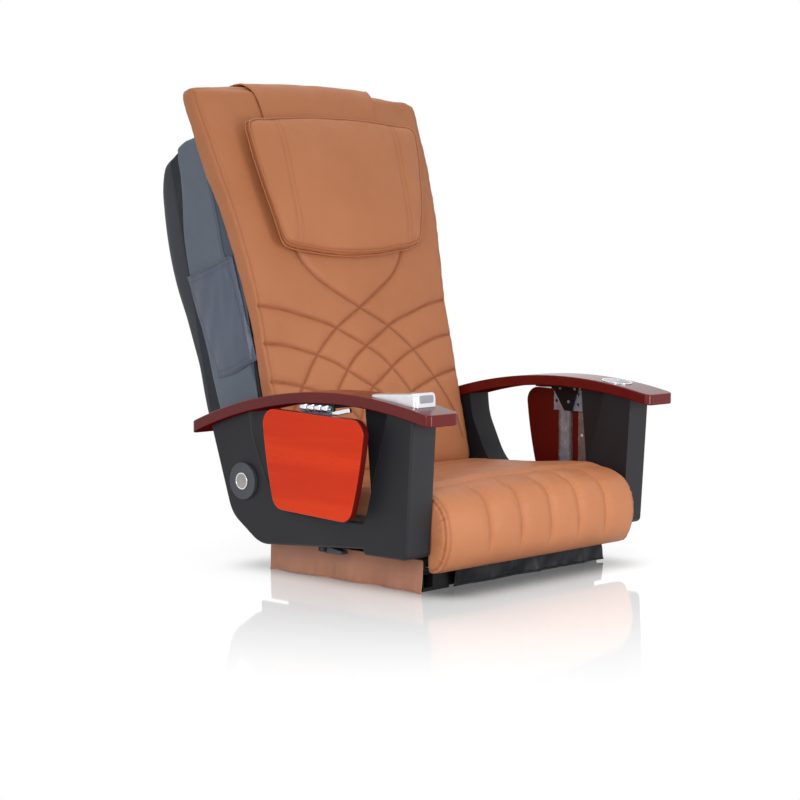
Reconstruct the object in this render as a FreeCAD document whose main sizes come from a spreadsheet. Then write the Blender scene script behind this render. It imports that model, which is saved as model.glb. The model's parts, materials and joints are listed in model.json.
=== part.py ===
import FreeCAD, Part
import math
import os
from types import SimpleNamespace

import Sketcher
from FreeCAD import Placement, Rotation, Vector

# Pedicure spa chair: reclining upholstered seat on a sliding base.
# Origin: centre of the base's bolt pattern on the floor. +Z up, the sitter faces -Y, +X is the sitter's left.

sizes = (
    # welded base and its feet
    ("baseWidth", 540), ("baseDepth", 410), ("tubeSide", 30), ("tubeWall", 2),
    ("footThick", 5), ("footLong", 85), ("footWide", 75),
    ("boltInset", 55), ("boltRadius", 5.5),
    # seat slide
    ("railWide", 24), ("railHigh", 28), ("railLong", 400),
    ("slotDeep", 12), ("slotHigh", 12), ("slotLift", 8), ("slideGap", 0.3),
    # seat frame
    ("seatGap", 6), ("seatLift", 7), ("seatTubeWide", 25), ("seatTubeHigh", 50),
    ("seatFrontY", -185), ("seatRearY", 200), ("rearBarY", 112), ("railClear", 3),
    ("panThick", 12), ("panHalf", 272), ("panFrontY", -226), ("panRearY", 145), ("lugHalf", 12), ("lugThick", 8),
    # recline pivot
    ("pivotY", 193), ("pivotZ", 190), ("pinRadius", 8), ("runningGap", 0.05),
    ("plateIn", 287), ("plateThick", 8), ("eyeReach", 24), ("pinIn", 252), ("pinOut", 364), ("leanAngle", 13.3),
    # recline drive
    ("leverTilt", 20), ("leverReach", 151), ("leverHalf", 14), ("leverThick", 12),
    ("drivePinDrop", 138), ("drivePinRadius", 5), ("slotPlay", 1.5), ("slotLong", 39),
    ("yokeReach", 22), ("cheekClear", 0.8), ("cheekThick", 5), ("cheekHalf", 10),
    ("driveRadius", 16), ("driveFrontY", -90), ("driveRearY", 70), ("rodRadius", 7),
    ("gearLong", 60), ("driveMotorX", 42), ("driveMotorLong", 140),
    # slide drive
    ("slideDriveX", -120), ("slideDriveRadius", 12), ("slideRodRadius", 6), ("slideGearHalf", 20),
    ("slideGearLong", 55), ("collarLong", 18),
    ("boxLong", 120), ("boxWide", 138), ("boxHigh", 27), ("boxX", 72), ("driveLift", 16),
    ("inletHalf", 14), ("inletDeep", 9), ("inletEdge", 4),
    # seat cushion
    ("seatHalf", 295), ("cushionRearY", 155), ("cushionRearZ", 178), ("cushionFrontZ", 202),
    ("noseY", -296), ("noseZ", 122), ("lipY", -248), ("lipZ", 46), ("lipBackY", -231),
    ("rollTopY", -182), ("rearRound", 17), ("lipFold", 8), ("topBow", 3),
    ("seatCrown", 10), ("channelWide", 90), ("channelDeep", 5), ("channelTurns", 2), ("sideRoll", 9),
    # skirts and flap
    ("skirtLow", 0.5), ("clothGap", 0.3), ("skirtThick", 2), ("skirtDepth", 424), ("skirtWave", 2.4),
    ("skirtFolds", 8), ("flapFolds", 7),
    ("flapLow", 4), ("flapHigh", 41), ("flapLeft", -200), ("flapRight", 258), ("flapWave", 4),
    # arm boards
    ("boardIn", 292), ("boardOut", 381), ("boardThick", 22), ("boardRadius", 1070),
    ("boardTopY", -70), ("boardTopZ", 381), ("boardFrontY", -319), ("boardRearY", 338),
    ("boardCorner", 14), ("boardEdge", 2.5),
    # arm shells
    ("shellIn", 303), ("shellOut", 365), ("shellWall", 3), ("linerThick", 3), ("webOut", 333),
    ("shellFrontY", -269), ("shellRearY", 308), ("shellLowZ", 66), ("shellTopDrop", 9),
    ("shellRound", 6), ("hubRadius", 14), ("capRadius", 37), ("capThick", 7), ("discRadius", 17), ("discThick", 2.5),
    # folding trays
    ("trayIn", 394), ("trayThick", 17), ("trayEdge", 3), ("trayCorner", 30), ("trayBow", 900),
    ("trayFrontY", -187), ("trayRearY", 93), ("trayTopZ", 346), ("trayTopFall", 10), ("trayLowZ", 140),
    ("trayFrontRake", 41), ("trayRearRake", 34), ("hingeX", 388), ("hingeZ", 350),
    ("knuckleRadius", 6.5), ("hingePinRadius", 2.5), ("hingeFrontY", -75), ("hingeRearY", 4), ("earThick", 3),
    ("earRadius", 5.5), ("plateLift", 12), ("bracketIn", 330), ("carrierHole", 4),
    ("gussetOut", 380.5), ("gussetThick", 3.5), ("carrierIn", 382.2), ("carrierThick", 3.5), ("carrierLow", 298),
    ("trackTop", 335), ("trackLow", 160), ("trackDeep", 8), ("trackFrontY", -41), ("trackRearY", -8),
    ("trackWall", 4), ("trackFoot", 25),
    ("stripFrontY", -80), ("stripRearY", -60), ("stripDeep", 5),
    # console and cup holder
    ("consoleOut", 363), ("consoleIn", 301), ("consoleFrontY", -271), ("consoleRearY", -150),
    ("consoleFrontZ", 385), ("consoleRearZ", 381.5), ("consoleRound", 18), ("consoleSink", 31.5),
    ("consoleMiddle", 333), ("buttonInset", 19), ("buttonStep", 30),
    ("buttonRadius", 7), ("buttonGap", 0.4), ("buttonProud", 1.6), ("buttonDeep", 5), ("buttonTravel", 1.2),
    ("cupX", 336), ("cupY", -205), ("cupRadius", 29), ("cupDeep", 20), ("cupRim", 33), ("cupWall", 1.2),
    # release levers
    ("leverX", 321), ("tabHalf", 9), ("tabPinY", 5), ("tabPinZ", 68), ("tabPinRadius", 3),
    ("tabLong", 50), ("tabThick", 7),
    # backrest
    ("uprightIn", 250), ("uprightOut", 268), ("backHalf", 278), ("sideWall", 8), ("padBack", 4), ("sideLine", 166),
    ("frameFrontV", -16), ("frameRearV", 78), ("frameFootU", -14), ("frameDrop", 109),
    ("sideLowU", 30), ("sideDrop", 90),
    ("coverHalf", 276), ("coverWall", 4), ("coverRearV", 246), ("coverLowU", 116), ("coverDrop", 109),
    ("coverTaper", 36), ("barThick", 20), ("barDeep", 30), ("lowBarU", 60), ("highBarDrop", 224),
    ("rodSpread", 150), ("rodV", 31), ("guideRadius", 6), ("screwRadius", 8), ("bushRadius", 11),
    ("motorHalf", 26), ("bushLong", 20), ("lugIn", 50), ("bladeThick", 6), ("kneadHalf", 60), ("kneadCan", 22),
    ("kneadCanLong", 70), ("screwStub", 10),
    ("carriageU", 110), ("carriageHigh", 90), ("rockerU", 215), ("rockerV", 47), ("rollerU", 295), ("rollerV", 46),
    ("rollerRadius", 26), ("rollerWide", 30), ("rockerPin", 5),
    ("padThick", 44), ("padCrown", 9), ("padTopU", 824), ("padFrontV", -40), ("headLean", 43), ("padWaist", 281),
    ("padFlare", 51), ("padLowU", -12), ("padToeU", 26), ("padBlock", 14),
    ("pillowDrop", 84), ("pillowHigh", 294), ("pillowHalf", 252), ("pillowThick", 40),
    ("flapHalf", 186), ("flapThick", 3), ("flapFront", 134), ("flapBehind", 54), ("pocketDeep", 8), ("clothThick", 2),
    ("pocketFrontV", 14), ("pocketRearV", 160), ("pocketLowU", 229), ("pocketTopU", 466),
)

doc = FreeCAD.newDocument("SpaChair")
sheet = doc.addObject("Spreadsheet::Sheet", "Sizes")
for row, (alias, value) in enumerate(sizes, start=1):
    sheet.set(f"A{row}", alias)
    sheet.set(f"B{row}", str(value))
    sheet.setAlias(f"B{row}", alias)
doc.recompute()


class Length:
    # a number read from the sheet, together with the formula that gives it there

    def __init__(self, value, text):
        self.value = value
        self.text = text

    def __float__(self):
        return self.value

    def __neg__(self):
        return Length(-self.value, f"(0 - {self.text})")

    def __add__(self, other):
        other = length(other)
        return Length(self.value + other.value, f"({self.text} + {other.text})")

    def __sub__(self, other):
        other = length(other)
        return Length(self.value - other.value, f"({self.text} - {other.text})")

    def __mul__(self, other):
        other = length(other)
        return Length(self.value * other.value, f"({self.text} * {other.text})")

    def __truediv__(self, other):
        other = length(other)
        return Length(self.value / other.value, f"({self.text} / {other.text})")

    def __radd__(self, other):
        return length(other) + self

    def __rsub__(self, other):
        return length(other) - self

    def __rmul__(self, other):
        return length(other) * self


def length(thing):
    return thing if isinstance(thing, Length) else Length(float(thing), repr(float(thing)))


d = SimpleNamespace(**{alias: Length(float(sheet.get(alias)), "Sizes." + alias) for alias, value in sizes})
finished = []


def bind(thing, prop, formula):
    thing.setExpression(prop, length(formula).text)


def mirrored(side, near, far):
    # span across X on the sitter's left (+1) or right (-1)
    return (near, far) if side > 0 else (-length(far), -length(near))


def box(name, x, y, z):
    piece = doc.addObject("Part::Box", name)
    for prop, axis, (low, high) in (("Length", "x", x), ("Width", "y", y), ("Height", "z", z)):
        bind(piece, prop, length(high) - low)
        bind(piece, "Placement.Base." + axis, low)
    return piece


def rod(name, radius, axis, span, centre):
    # cylinder along one axis; centre holds the two other coordinates in x, y, z order
    piece = doc.addObject("Part::Cylinder", name)
    turn = {"x": Rotation(Vector(0, 1, 0), 90), "y": Rotation(Vector(1, 0, 0), -90), "z": Rotation()}[axis]
    piece.Placement = Placement(Vector(), turn)
    bind(piece, "Radius", radius)
    bind(piece, "Height", length(span[1]) - span[0])
    bind(piece, "Placement.Base." + axis, span[0])
    for other, place in zip([letter for letter in "xyz" if letter != axis], centre):
        bind(piece, "Placement.Base." + other, place)
    return piece


def joined(name, *parts):
    piece = doc.addObject("Part::MultiFuse", name)
    piece.Shapes = list(parts)
    return piece


def grouped(name, *parts):
    piece = doc.addObject("Part::Compound", name)
    piece.Links = list(parts)
    return piece


def cut(name, base, *tools):
    piece = doc.addObject("Part::Cut", name)
    piece.Base = base
    piece.Tool = tools[0] if len(tools) == 1 else joined(name + "Tools", *tools)
    return piece


def common(name, base, tool):
    piece = doc.addObject("Part::Common", name)
    piece.Base = base
    piece.Tool = tool
    return piece


def tube(name, x, y, z, along, wall):
    # square tube, open at both ends
    spans = {"x": x, "y": y, "z": z}
    inner = {axis: (low, high) if axis == along else (length(low) + wall, length(high) - wall)
             for axis, (low, high) in spans.items()}
    return cut(name, box(name + "Outer", x, y, z), box(name + "Bore", inner["x"], inner["y"], inner["z"]))


def shaped(name, shape):
    piece = doc.addObject("Part::Feature", name)
    piece.Shape = shape
    return piece


def node(piece, label, leaning=False):
    # a finished sub-part; leaning ones are drawn in the backrest's own frame about the recline pivot
    piece.Label = label
    if leaning:
        piece.Placement = Placement(Vector(0, float(d.pivotY), float(d.pivotZ)),
                                    Rotation(Vector(1, 0, 0), -float(d.leanAngle)))
        bind(piece, "Placement.Base.y", d.pivotY)
        bind(piece, "Placement.Base.z", d.pivotZ)
    finished.append(piece)
    return piece


def profile(points, plane, level):
    # closed outline of straight runs with rounded corners; a point is (a, b) or (a, b, radius)
    spots = [(float(p[0]), float(p[1]), float(p[2]) if len(p) > 2 else 0.0) for p in points]

    def at(a, b):
        return Vector(level, a, b) if plane == "yz" else Vector(a, b, level)

    edges = []
    ends = []
    for i, (a, b, radius) in enumerate(spots):
        before, after = spots[i - 1], spots[(i + 1) % len(spots)]
        here = Vector(a, b, 0)
        one = (Vector(before[0], before[1], 0) - here).normalize()
        two = (Vector(after[0], after[1], 0) - here).normalize()
        half = one.getAngle(two) / 2
        reach = radius / math.tan(half) if radius else 0.0
        start, end = here + one * reach, here + two * reach
        ends.append((start, end))
        if radius:
            middle = here + (one + two).normalize() * (radius / math.sin(half) - radius)
            edges.append((i, Part.Arc(at(start.x, start.y), at(middle.x, middle.y), at(end.x, end.y)).toShape()))
    ordered = []
    arcs = dict(edges)
    for i in range(len(spots)):
        if i in arcs:
            ordered.append(arcs[i])
        start, end = ends[i][1], ends[(i + 1) % len(spots)][0]
        if (end - start).Length > 1e-6:
            ordered.append(Part.LineSegment(at(start.x, start.y), at(end.x, end.y)).toShape())
    return Part.Wire(ordered)


def slab(points, plane, low, high):
    # outline extruded along X (plane yz) or Z (plane xy)
    low, high = float(low), float(high)
    direction = Vector(high - low, 0, 0) if plane == "yz" else Vector(0, 0, high - low)
    return Part.Face(profile(points, plane, low)).extrude(direction)


def sketched(name, side, segments, near, far):
    # body drawn in the YZ plane and padded across X; a segment is (y, z) or (y, z, radius of the arc that leaves it)
    low, high = mirrored(side, near, far)
    body = doc.addObject("PartDesign::Body", name)
    sketch = body.newObject("Sketcher::SketchObject", name + "Outline")
    plane = next(item for item in body.Origin.OriginFeatures if item.Role == "YZ_Plane")
    sketch.AttachmentSupport = [(plane, "")]
    sketch.MapMode = "FlatFace"
    bind(sketch, "AttachmentOffset.Base.z", low)
    spots = [Vector(float(s[0]), float(s[1]), 0) for s in segments]
    for i, segment in enumerate(segments):
        here, after = spots[i], spots[(i + 1) % len(spots)]
        if len(segment) == 2:
            sketch.addGeometry(Part.LineSegment(here, after), False)
            continue
        # the arc bulges away from the outline's middle
        radius = float(segment[2])
        middle = (here + after) * 0.5
        normal = Vector(after.y - here.y, here.x - after.x, 0).normalize()
        rise = radius - math.sqrt(radius ** 2 - ((after - here).Length / 2) ** 2)
        sketch.addGeometry(Part.Arc(here, middle + normal * rise, after), False)
    for i, segment in enumerate(segments):
        geometry = sketch.Geometry[i]
        forward = (geometry.StartPoint - spots[i]).Length < 1e-6
        start = 1 if forward else 2
        following = sketch.Geometry[(i + 1) % len(segments)]
        joins = 1 if (following.StartPoint - spots[(i + 1) % len(spots)]).Length < 1e-6 else 2
        sketch.addConstraint(Sketcher.Constraint("Coincident", i, 3 - start, (i + 1) % len(segments), joins))
        for kind, value in (("DistanceX", segment[0]), ("DistanceY", segment[1])):
            where = sketch.addConstraint(Sketcher.Constraint(kind, i, start, float(value)))
            bind(sketch, f"Constraints[{where}]", value)
        if len(segment) > 2:
            where = sketch.addConstraint(Sketcher.Constraint("Radius", i, float(segment[2])))
            bind(sketch, f"Constraints[{where}]", segment[2])
    pad = body.newObject("PartDesign::Pad", name + "Pad")
    pad.Profile = sketch
    bind(pad, "Length", length(high) - low)
    doc.recompute()
    return body


def rounded(body, name, radius, chosen):
    # fillet on the edges of the body's tip that the test picks
    base = body.Tip
    names = [f"Edge{i}" for i, edge in enumerate(base.Shape.Edges, start=1) if chosen(edge)]
    fillet = body.newObject("PartDesign::Fillet", name)
    fillet.Base = (base, names)
    bind(fillet, "Radius", radius)
    doc.recompute()
    return body


def runsAcross(edge):
    # straight edge along X
    ends = [vertex.Point for vertex in edge.Vertexes]
    return len(ends) == 2 and abs((ends[1] - ends[0]).normalize().x) > 0.999


def loft(wires):
    return Part.makeLoft(wires, True, False)


left, right = 1, -1
sides = ((left, "left"), (right, "right"))

# levels that many pieces share
frameTop = d.footThick + d.tubeSide
baseSide = d.baseWidth / 2
baseEnd = d.baseDepth / 2
railOut = baseSide - 1
railIn = railOut - d.railWide
railTop = frameTop + d.railHigh
slotLow = frameTop + d.slotLift
seatTubeOut = railIn - d.seatGap
seatTubeIn = seatTubeOut - d.seatTubeWide
seatLow = frameTop + d.seatLift
seatTop = seatLow + d.seatTubeHigh
panTop = seatTop + d.panThick
slideDriveZ = frameTop + d.driveLift
driveZ = d.pivotZ - d.drivePinDrop
boardCentreZ = d.boardTopZ - d.boardRadius
underRadius = d.boardRadius - d.boardThick
frameTopU = d.padTopU - d.frameDrop
highBarU = d.padTopU - d.highBarDrop
uprightFace = 0.2553  # share of the uprights' depth where their straight front lies


def makeBase():
    parts = []
    for side, word in sides:
        parts.append(tube("baseTube" + word, mirrored(side, baseSide - d.tubeSide, baseSide), (-baseEnd, baseEnd),
                          (d.footThick, frameTop), "y", d.tubeWall))
    inner = baseSide - d.tubeSide
    for name, y in (("Front", (-baseEnd, d.tubeSide - baseEnd)), ("Rear", (baseEnd - d.tubeSide, baseEnd)),
                    ("Middle", (-d.tubeSide / 2, d.tubeSide / 2))):
        parts.append(tube("baseCross" + name, (-inner, inner), y, (d.footThick, frameTop), "x", d.tubeWall))
    node(joined("baseFrame", *parts), "base_frame")

    feet = []
    for side, word in sides:
        for end in (-1, 1):
            name = f"foot{word}{'Front' if end < 0 else 'Rear'}"
            y = (baseEnd - d.footLong, baseEnd) if end > 0 else (-baseEnd, d.footLong - baseEnd)
            plate = box(name + "Plate", mirrored(side, baseSide - d.footWide, baseSide), y, (0, d.footThick))
            hole = rod(name + "Hole", d.boltRadius, "z", (-1, d.footThick + 1),
                       ((baseSide - d.boltInset) * side, (baseEnd - d.boltInset) * end))
            feet.append(cut(name, plate, hole))
    node(grouped("feet", *feet), "foot_plates")

    rails = []
    for side, word in sides:
        bar = box("rail" + word + "Bar", mirrored(side, railIn, railOut),
                  (-d.railLong / 2, d.railLong / 2), (frameTop, railTop))
        slot = box("rail" + word + "Slot", mirrored(side, railIn - 1, railIn + d.slotDeep),
                   (-d.railLong / 2 - 1, d.railLong / 2 + 1), (slotLow, slotLow + d.slotHigh))
        rails.append(cut("rail" + word, bar, slot))
    node(grouped("rails", *rails), "slide_rails")


def spread(shares, across, upright):
    # outline given in shares of two spans; a third share, of the upright span, is a corner radius
    (near, far), (low, high) = [[float(end) for end in span] for span in (across, upright)]
    return [(near + (far - near) * share[0], low + (high - low) * share[1], *[(high - low) * r for r in share[2:]])
            for share in shares]


def between(marks, share):
    # value at a share between marks of (share, value)
    for (low, one), (high, two) in zip(marks, marks[1:]):
        if share <= high:
            return one + (two - one) * (share - low) / (high - low)
    return marks[-1][1]


def foldedStrip(along, span, face, thick, low, high, folds, wave):
    # hanging cloth: straight at the top, waved in even folds at the hem
    def section(z, depth):
        step = (span[1] - span[0]) / folds
        rows = []
        for offset in (0.0, thick):
            marks = [span[0] + step * k for k in range(folds + 1)]
            arcs = []
            for k in range(folds):
                swing = depth * (1 if k % 2 else -1)
                trio = ((marks[k], face + offset), (marks[k] + step / 2, face + offset + swing),
                        (marks[k + 1], face + offset))
                spots = [Vector(b, a, z) if along == "y" else Vector(a, b, z) for a, b in trio]
                arcs.append(Part.Arc(*spots).toShape())
            rows.append(arcs)
        one, two = rows
        closing = Part.LineSegment(one[-1].valueAt(one[-1].LastParameter),
                                   two[-1].valueAt(two[-1].LastParameter)).toShape()
        opening = Part.LineSegment(two[0].valueAt(two[0].FirstParameter),
                                   one[0].valueAt(one[0].FirstParameter)).toShape()
        return Part.Wire(one + [closing] + two[::-1] + [opening])

    return Part.makeLoft([section(low, wave), section(high, wave / 8)], True, True)


def makeSkirts():
    half = float(d.skirtDepth) / 2
    thick = float(d.skirtThick)
    for side, word in sides:
        near, far = mirrored(side, baseSide + d.skirtWave + d.clothGap, baseSide + d.skirtWave + d.clothGap + thick)
        strip = foldedStrip("y", (-half, half), float(near), thick, float(d.skirtLow), float(railTop),
                            int(float(d.skirtFolds)), float(d.skirtWave))
        node(shaped("skirt" + word, strip), "skirt_" + word)
    face = -float(baseEnd + d.clothGap + d.flapWave + d.skirtThick)
    strip = foldedStrip("x", (float(d.flapLeft), float(d.flapRight)), face, thick, float(d.flapLow),
                        float(d.flapHigh), int(float(d.flapFolds)), float(d.flapWave))
    node(shaped("frontFlap", strip), "front_flap")


def makeBaseDrives():
    case = box("boxCase", (d.boxX, d.boxX + d.boxWide), (-d.boxLong / 2, d.boxLong / 2),
               (frameTop, frameTop + d.boxHigh))
    inletX = d.boxX + d.boxWide / 2
    inlet = box("boxInlet", (inletX - d.inletHalf, inletX + d.inletHalf),
                (d.boxLong / 2 - d.inletDeep, d.boxLong / 2 + 1),
                (frameTop + d.inletEdge, frameTop + d.boxHigh - d.inletEdge))
    node(cut("controlBox", case, inlet), "control_box")

    z = slideDriveZ
    rear = baseEnd - d.tubeSide
    gear = d.slideGearHalf
    case = rod("slideCase", d.slideDriveRadius, "y", (-gear, rear + 5), (d.slideDriveX, z))
    motor = box("slideGear", (d.slideDriveX - gear, d.slideDriveX + gear), (rear - d.slideGearLong, rear + gear),
                (frameTop, frameTop + d.boxHigh))
    saddle = box("slideSaddle", (d.slideDriveX - gear + 4, d.slideDriveX + gear - 4), (8 - gear, gear - 8),
                 (frameTop, z))
    bore = rod("slideBore", d.slideRodRadius + d.slideGap, "y", (-gear - 1, rear - 5), (d.slideDriveX, z))
    node(cut("slideDrive", joined("slideDriveCase", case, motor, saddle), bore), "slide_motor")

    front = d.seatFrontY + d.tubeSide + d.lugThick
    stem = rod("slideStem", d.slideRodRadius, "y", (front, rear - 25), (d.slideDriveX, z))
    collar = rod("slideCollar", d.slideRodRadius + 2, "y", (front, front + d.collarLong), (d.slideDriveX, z))
    node(joined("slideRod", stem, collar), "slide_rod")


def makeSeatFrame():
    parts = []
    for side, word in sides:
        parts.append(tube("seatTube" + word, mirrored(side, seatTubeIn, seatTubeOut), (d.seatFrontY, d.seatRearY),
                          (seatLow, seatTop), "y", d.tubeWall))
        parts.append(box("seatTongue" + word, mirrored(side, seatTubeOut, railIn + d.slotDeep - d.slideGap),
                         (d.seatFrontY, d.seatRearY), (slotLow + d.slideGap, slotLow + d.slotHigh - d.slideGap)))
    parts.append(tube("seatCrossFront", (-seatTubeIn, seatTubeIn), (d.seatFrontY, d.seatFrontY + d.tubeSide),
                      (seatTop - d.tubeSide, seatTop), "x", d.tubeWall))
    plateOut = d.plateIn + d.plateThick
    barLow = railTop + d.railClear
    parts.append(tube("seatCrossRear", (-d.plateIn, d.plateIn), (d.rearBarY, d.rearBarY + d.tubeSide),
                      (barLow, seatTop), "x", d.tubeWall))
    for side, word in sides:
        near, far = mirrored(side, d.plateIn, plateOut)
        eyeTop, eyeSide = d.pivotZ + d.eyeReach, d.eyeReach - 2
        outline = [(d.rearBarY, barLow), (d.pivotY + d.eyeReach + 4, barLow),
                   (d.pivotY + eyeSide, eyeTop, d.eyeReach - 4), (d.pivotY - eyeSide, eyeTop, d.eyeReach - 4),
                   (d.pivotY - d.eyeReach - 4, seatTop + 8), (d.rearBarY, seatTop)]
        plate = shaped("pivotPlate" + word + "Blank", slab(outline, "yz", near, far))
        hole = rod("pivotPlate" + word + "Hole", d.pinRadius, "x", (near - 1, far + 1), (d.pivotY, d.pivotZ))
        parts.append(cut("pivotPlate" + word, plate, hole))
    front = d.seatFrontY + d.tubeSide
    parts.append(box("slideLug", (d.slideDriveX - d.lugHalf, d.slideDriveX + d.lugHalf), (front, front + d.lugThick),
                     (slideDriveZ - 8, seatTop)))
    parts.append(box("driveLug", (-d.leverHalf, d.leverHalf), (front, d.driveFrontY), (driveZ - 9, seatTop)))
    node(joined("seatFrame", *parts), "seat_frame")

    pan = box("panBoard", (-d.panHalf, d.panHalf), (d.panFrontY, d.panRearY), (seatTop, panTop))
    node(pan, "seat_pan")
    pins = [rod("pivotPin" + word, d.pinRadius, "x", mirrored(side, d.pinIn, d.pinOut), (d.pivotY, d.pivotZ))
            for side, word in sides]
    node(grouped("pivotPins", *pins), "pivot_pins")


def makeReclineDrive():
    z, radius = driveZ, d.driveRadius
    case = rod("driveCase", radius, "y", (d.driveFrontY, d.driveRearY), (0, z))
    gear = box("driveGear", (-radius - 4, d.driveMotorX + radius + 2),
               (d.driveFrontY + 10, d.driveFrontY + d.gearLong), (z - radius, z + radius + 4))
    motor = rod("driveMotor", radius - 1, "y", (d.driveFrontY + 50, d.driveFrontY + d.driveMotorLong),
                (d.driveMotorX, z))
    bore = rod("driveBore", d.rodRadius + d.slideGap, "y", (d.driveFrontY + d.gearLong + 10, d.driveRearY + 1), (0, z))
    node(cut("reclineMotor", joined("reclineMotorCase", case, gear, motor), bore), "recline_motor")

    tilt = math.radians(float(d.leverTilt))
    pinY = float(d.pivotY) + float(d.drivePinDrop) * math.tan(tilt)
    cheekGap = d.leverThick / 2 + d.cheekClear
    cheekOut = cheekGap + d.cheekThick
    yokeRear = pinY - d.yokeReach
    stem = rod("reclineStem", d.rodRadius, "y", (d.driveRearY - 12, yokeRear), (0, z))
    cheeks = [box("reclineCheek" + word, mirrored(side, cheekGap, cheekOut), (yokeRear - 8, pinY + d.cheekHalf),
                  (z - d.cheekHalf, z + d.cheekHalf)) for side, word in sides]
    yoke = box("reclineYoke", (-cheekOut, cheekOut), (yokeRear - 10, yokeRear), (z - d.cheekHalf, z + d.cheekHalf))
    pin = rod("reclinePin", d.drivePinRadius, "x", (-cheekOut, cheekOut), (pinY, z))
    node(joined("reclineRod", stem, yoke, pin, *cheeks), "recline_rod")


def makeSeatCushion():
    half, wide, deep = float(d.seatHalf), float(d.channelWide), float(d.channelDeep)
    rear, low, back = float(d.cushionRearY), float(panTop) + 0.4, float(d.lipBackY)
    rollTop, rearRound, fold = float(d.rollTopY), float(d.rearRound), float(d.lipFold)
    noseZ, bow = float(d.noseZ), float(d.topBow)

    def section(x, pull, inset):
        # pull is how far a sewn channel draws the roll in, inset how far the side rolls in
        lift = float(d.seatCrown) * (1 - (x / half) ** 2)
        rearTop = float(d.cushionRearZ) + lift * 0.6 - inset
        top = float(d.cushionFrontZ) + lift - pull - inset
        nose = float(d.noseY) + pull + inset * 0.7
        lipY, lipZ = float(d.lipY), float(d.lipZ) + inset * 0.4

        def at(y, z):
            return Vector(x, y, z)

        shoulder = at(nose + fold * 3, noseZ + (top - noseZ) * 0.68)
        roll = Part.Arc(at(rollTop, top), shoulder, at(nose, noseZ)).toShape()
        tuck = Part.Arc(at(nose, noseZ), at(nose + fold, (noseZ + lipZ) / 2 - 4), at(lipY, lipZ)).toShape()
        corner = (at(rear, rearTop - rearRound), at(rear - rearRound * 0.3, rearTop - rearRound * 0.3),
                  at(rear - rearRound, rearTop))
        return Part.Wire([
            Part.LineSegment(at(rear, low), corner[0]).toShape(),
            Part.Arc(*corner).toShape(),
            Part.Arc(corner[2], at((rear + rollTop) / 2, (rearTop + top) / 2 + bow), at(rollTop, top)).toShape(),
            roll, tuck,
            Part.LineSegment(at(lipY, lipZ), at(back, lipZ)).toShape(),
            Part.LineSegment(at(back, lipZ), at(back, low)).toShape(),
            Part.LineSegment(at(back, low), at(rear, low)).toShape(),
        ])

    # the roll is drawn in at each sewn channel and swells between them
    seams = int(float(d.channelTurns))
    edge, side = half - (seams + 0.5) * wide, float(d.sideRoll)
    stations = [(-half, 0.0, side), (-half + edge * 0.3, 0.0, side / 4)]
    for k in range(-seams, seams + 1):
        stations += [((k - 0.5) * wide, 0.0, 0.0), (k * wide, deep, 0.0)]
    stations += [((seams + 0.5) * wide, 0.0, 0.0), (half - edge * 0.3, 0.0, side / 4), (half, 0.0, side)]
    node(shaped("seatCushion", loft([section(*station) for station in stations])), "seat_cushion")


def boardCylinder(name, radius, x, side):
    return rod(name, radius, "x", mirrored(side, x[0], x[1]), (d.boardTopY, boardCentreZ))


def onArc(y, radius):
    # height of the board's arc at y, as a number
    return float(boardCentreZ) + math.sqrt(float(radius) ** 2 - (float(y) - float(d.boardTopY)) ** 2)


def makeArmBoard(side, word):
    ends = [(d.boardFrontY, onArc(d.boardFrontY, d.boardRadius)), (d.boardRearY, onArc(d.boardRearY, d.boardRadius))]
    under = [(d.boardRearY, onArc(d.boardRearY, underRadius)), (d.boardFrontY, onArc(d.boardFrontY, underRadius))]
    body = arcBody("armBoard" + word, side, ends, under)
    ends = (float(d.boardFrontY) + 5, float(d.boardRearY) - 5)
    rounded(body, "armBoardCorners" + word, d.boardCorner,
            lambda edge: edge.Length < float(d.boardThick) * 1.5 and not ends[0] < edge.Vertexes[0].Point.y < ends[1]
            and abs(edge.Vertexes[0].Point.x - edge.Vertexes[-1].Point.x) < 0.01)
    rounded(body, "armBoardEdges" + word, d.boardEdge,
            lambda edge: edge.BoundBox.XLength < float(d.boardOut - d.boardIn) * 0.7
            and edge.Length > float(d.boardRearY - d.boardFrontY) * 0.6)
    if side < 0:
        return node(body, "arm_board_right")
    recess = rod("cupRecess", d.cupRadius + 0.3, "z", (-d.boardThick * 1.5, d.boardThick / 2), (0, 0))
    seat = grouped("cupSeat", recess)
    onBoard(seat)
    return node(cut("armBoardLeft", body, seat), "arm_board_left")


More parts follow.
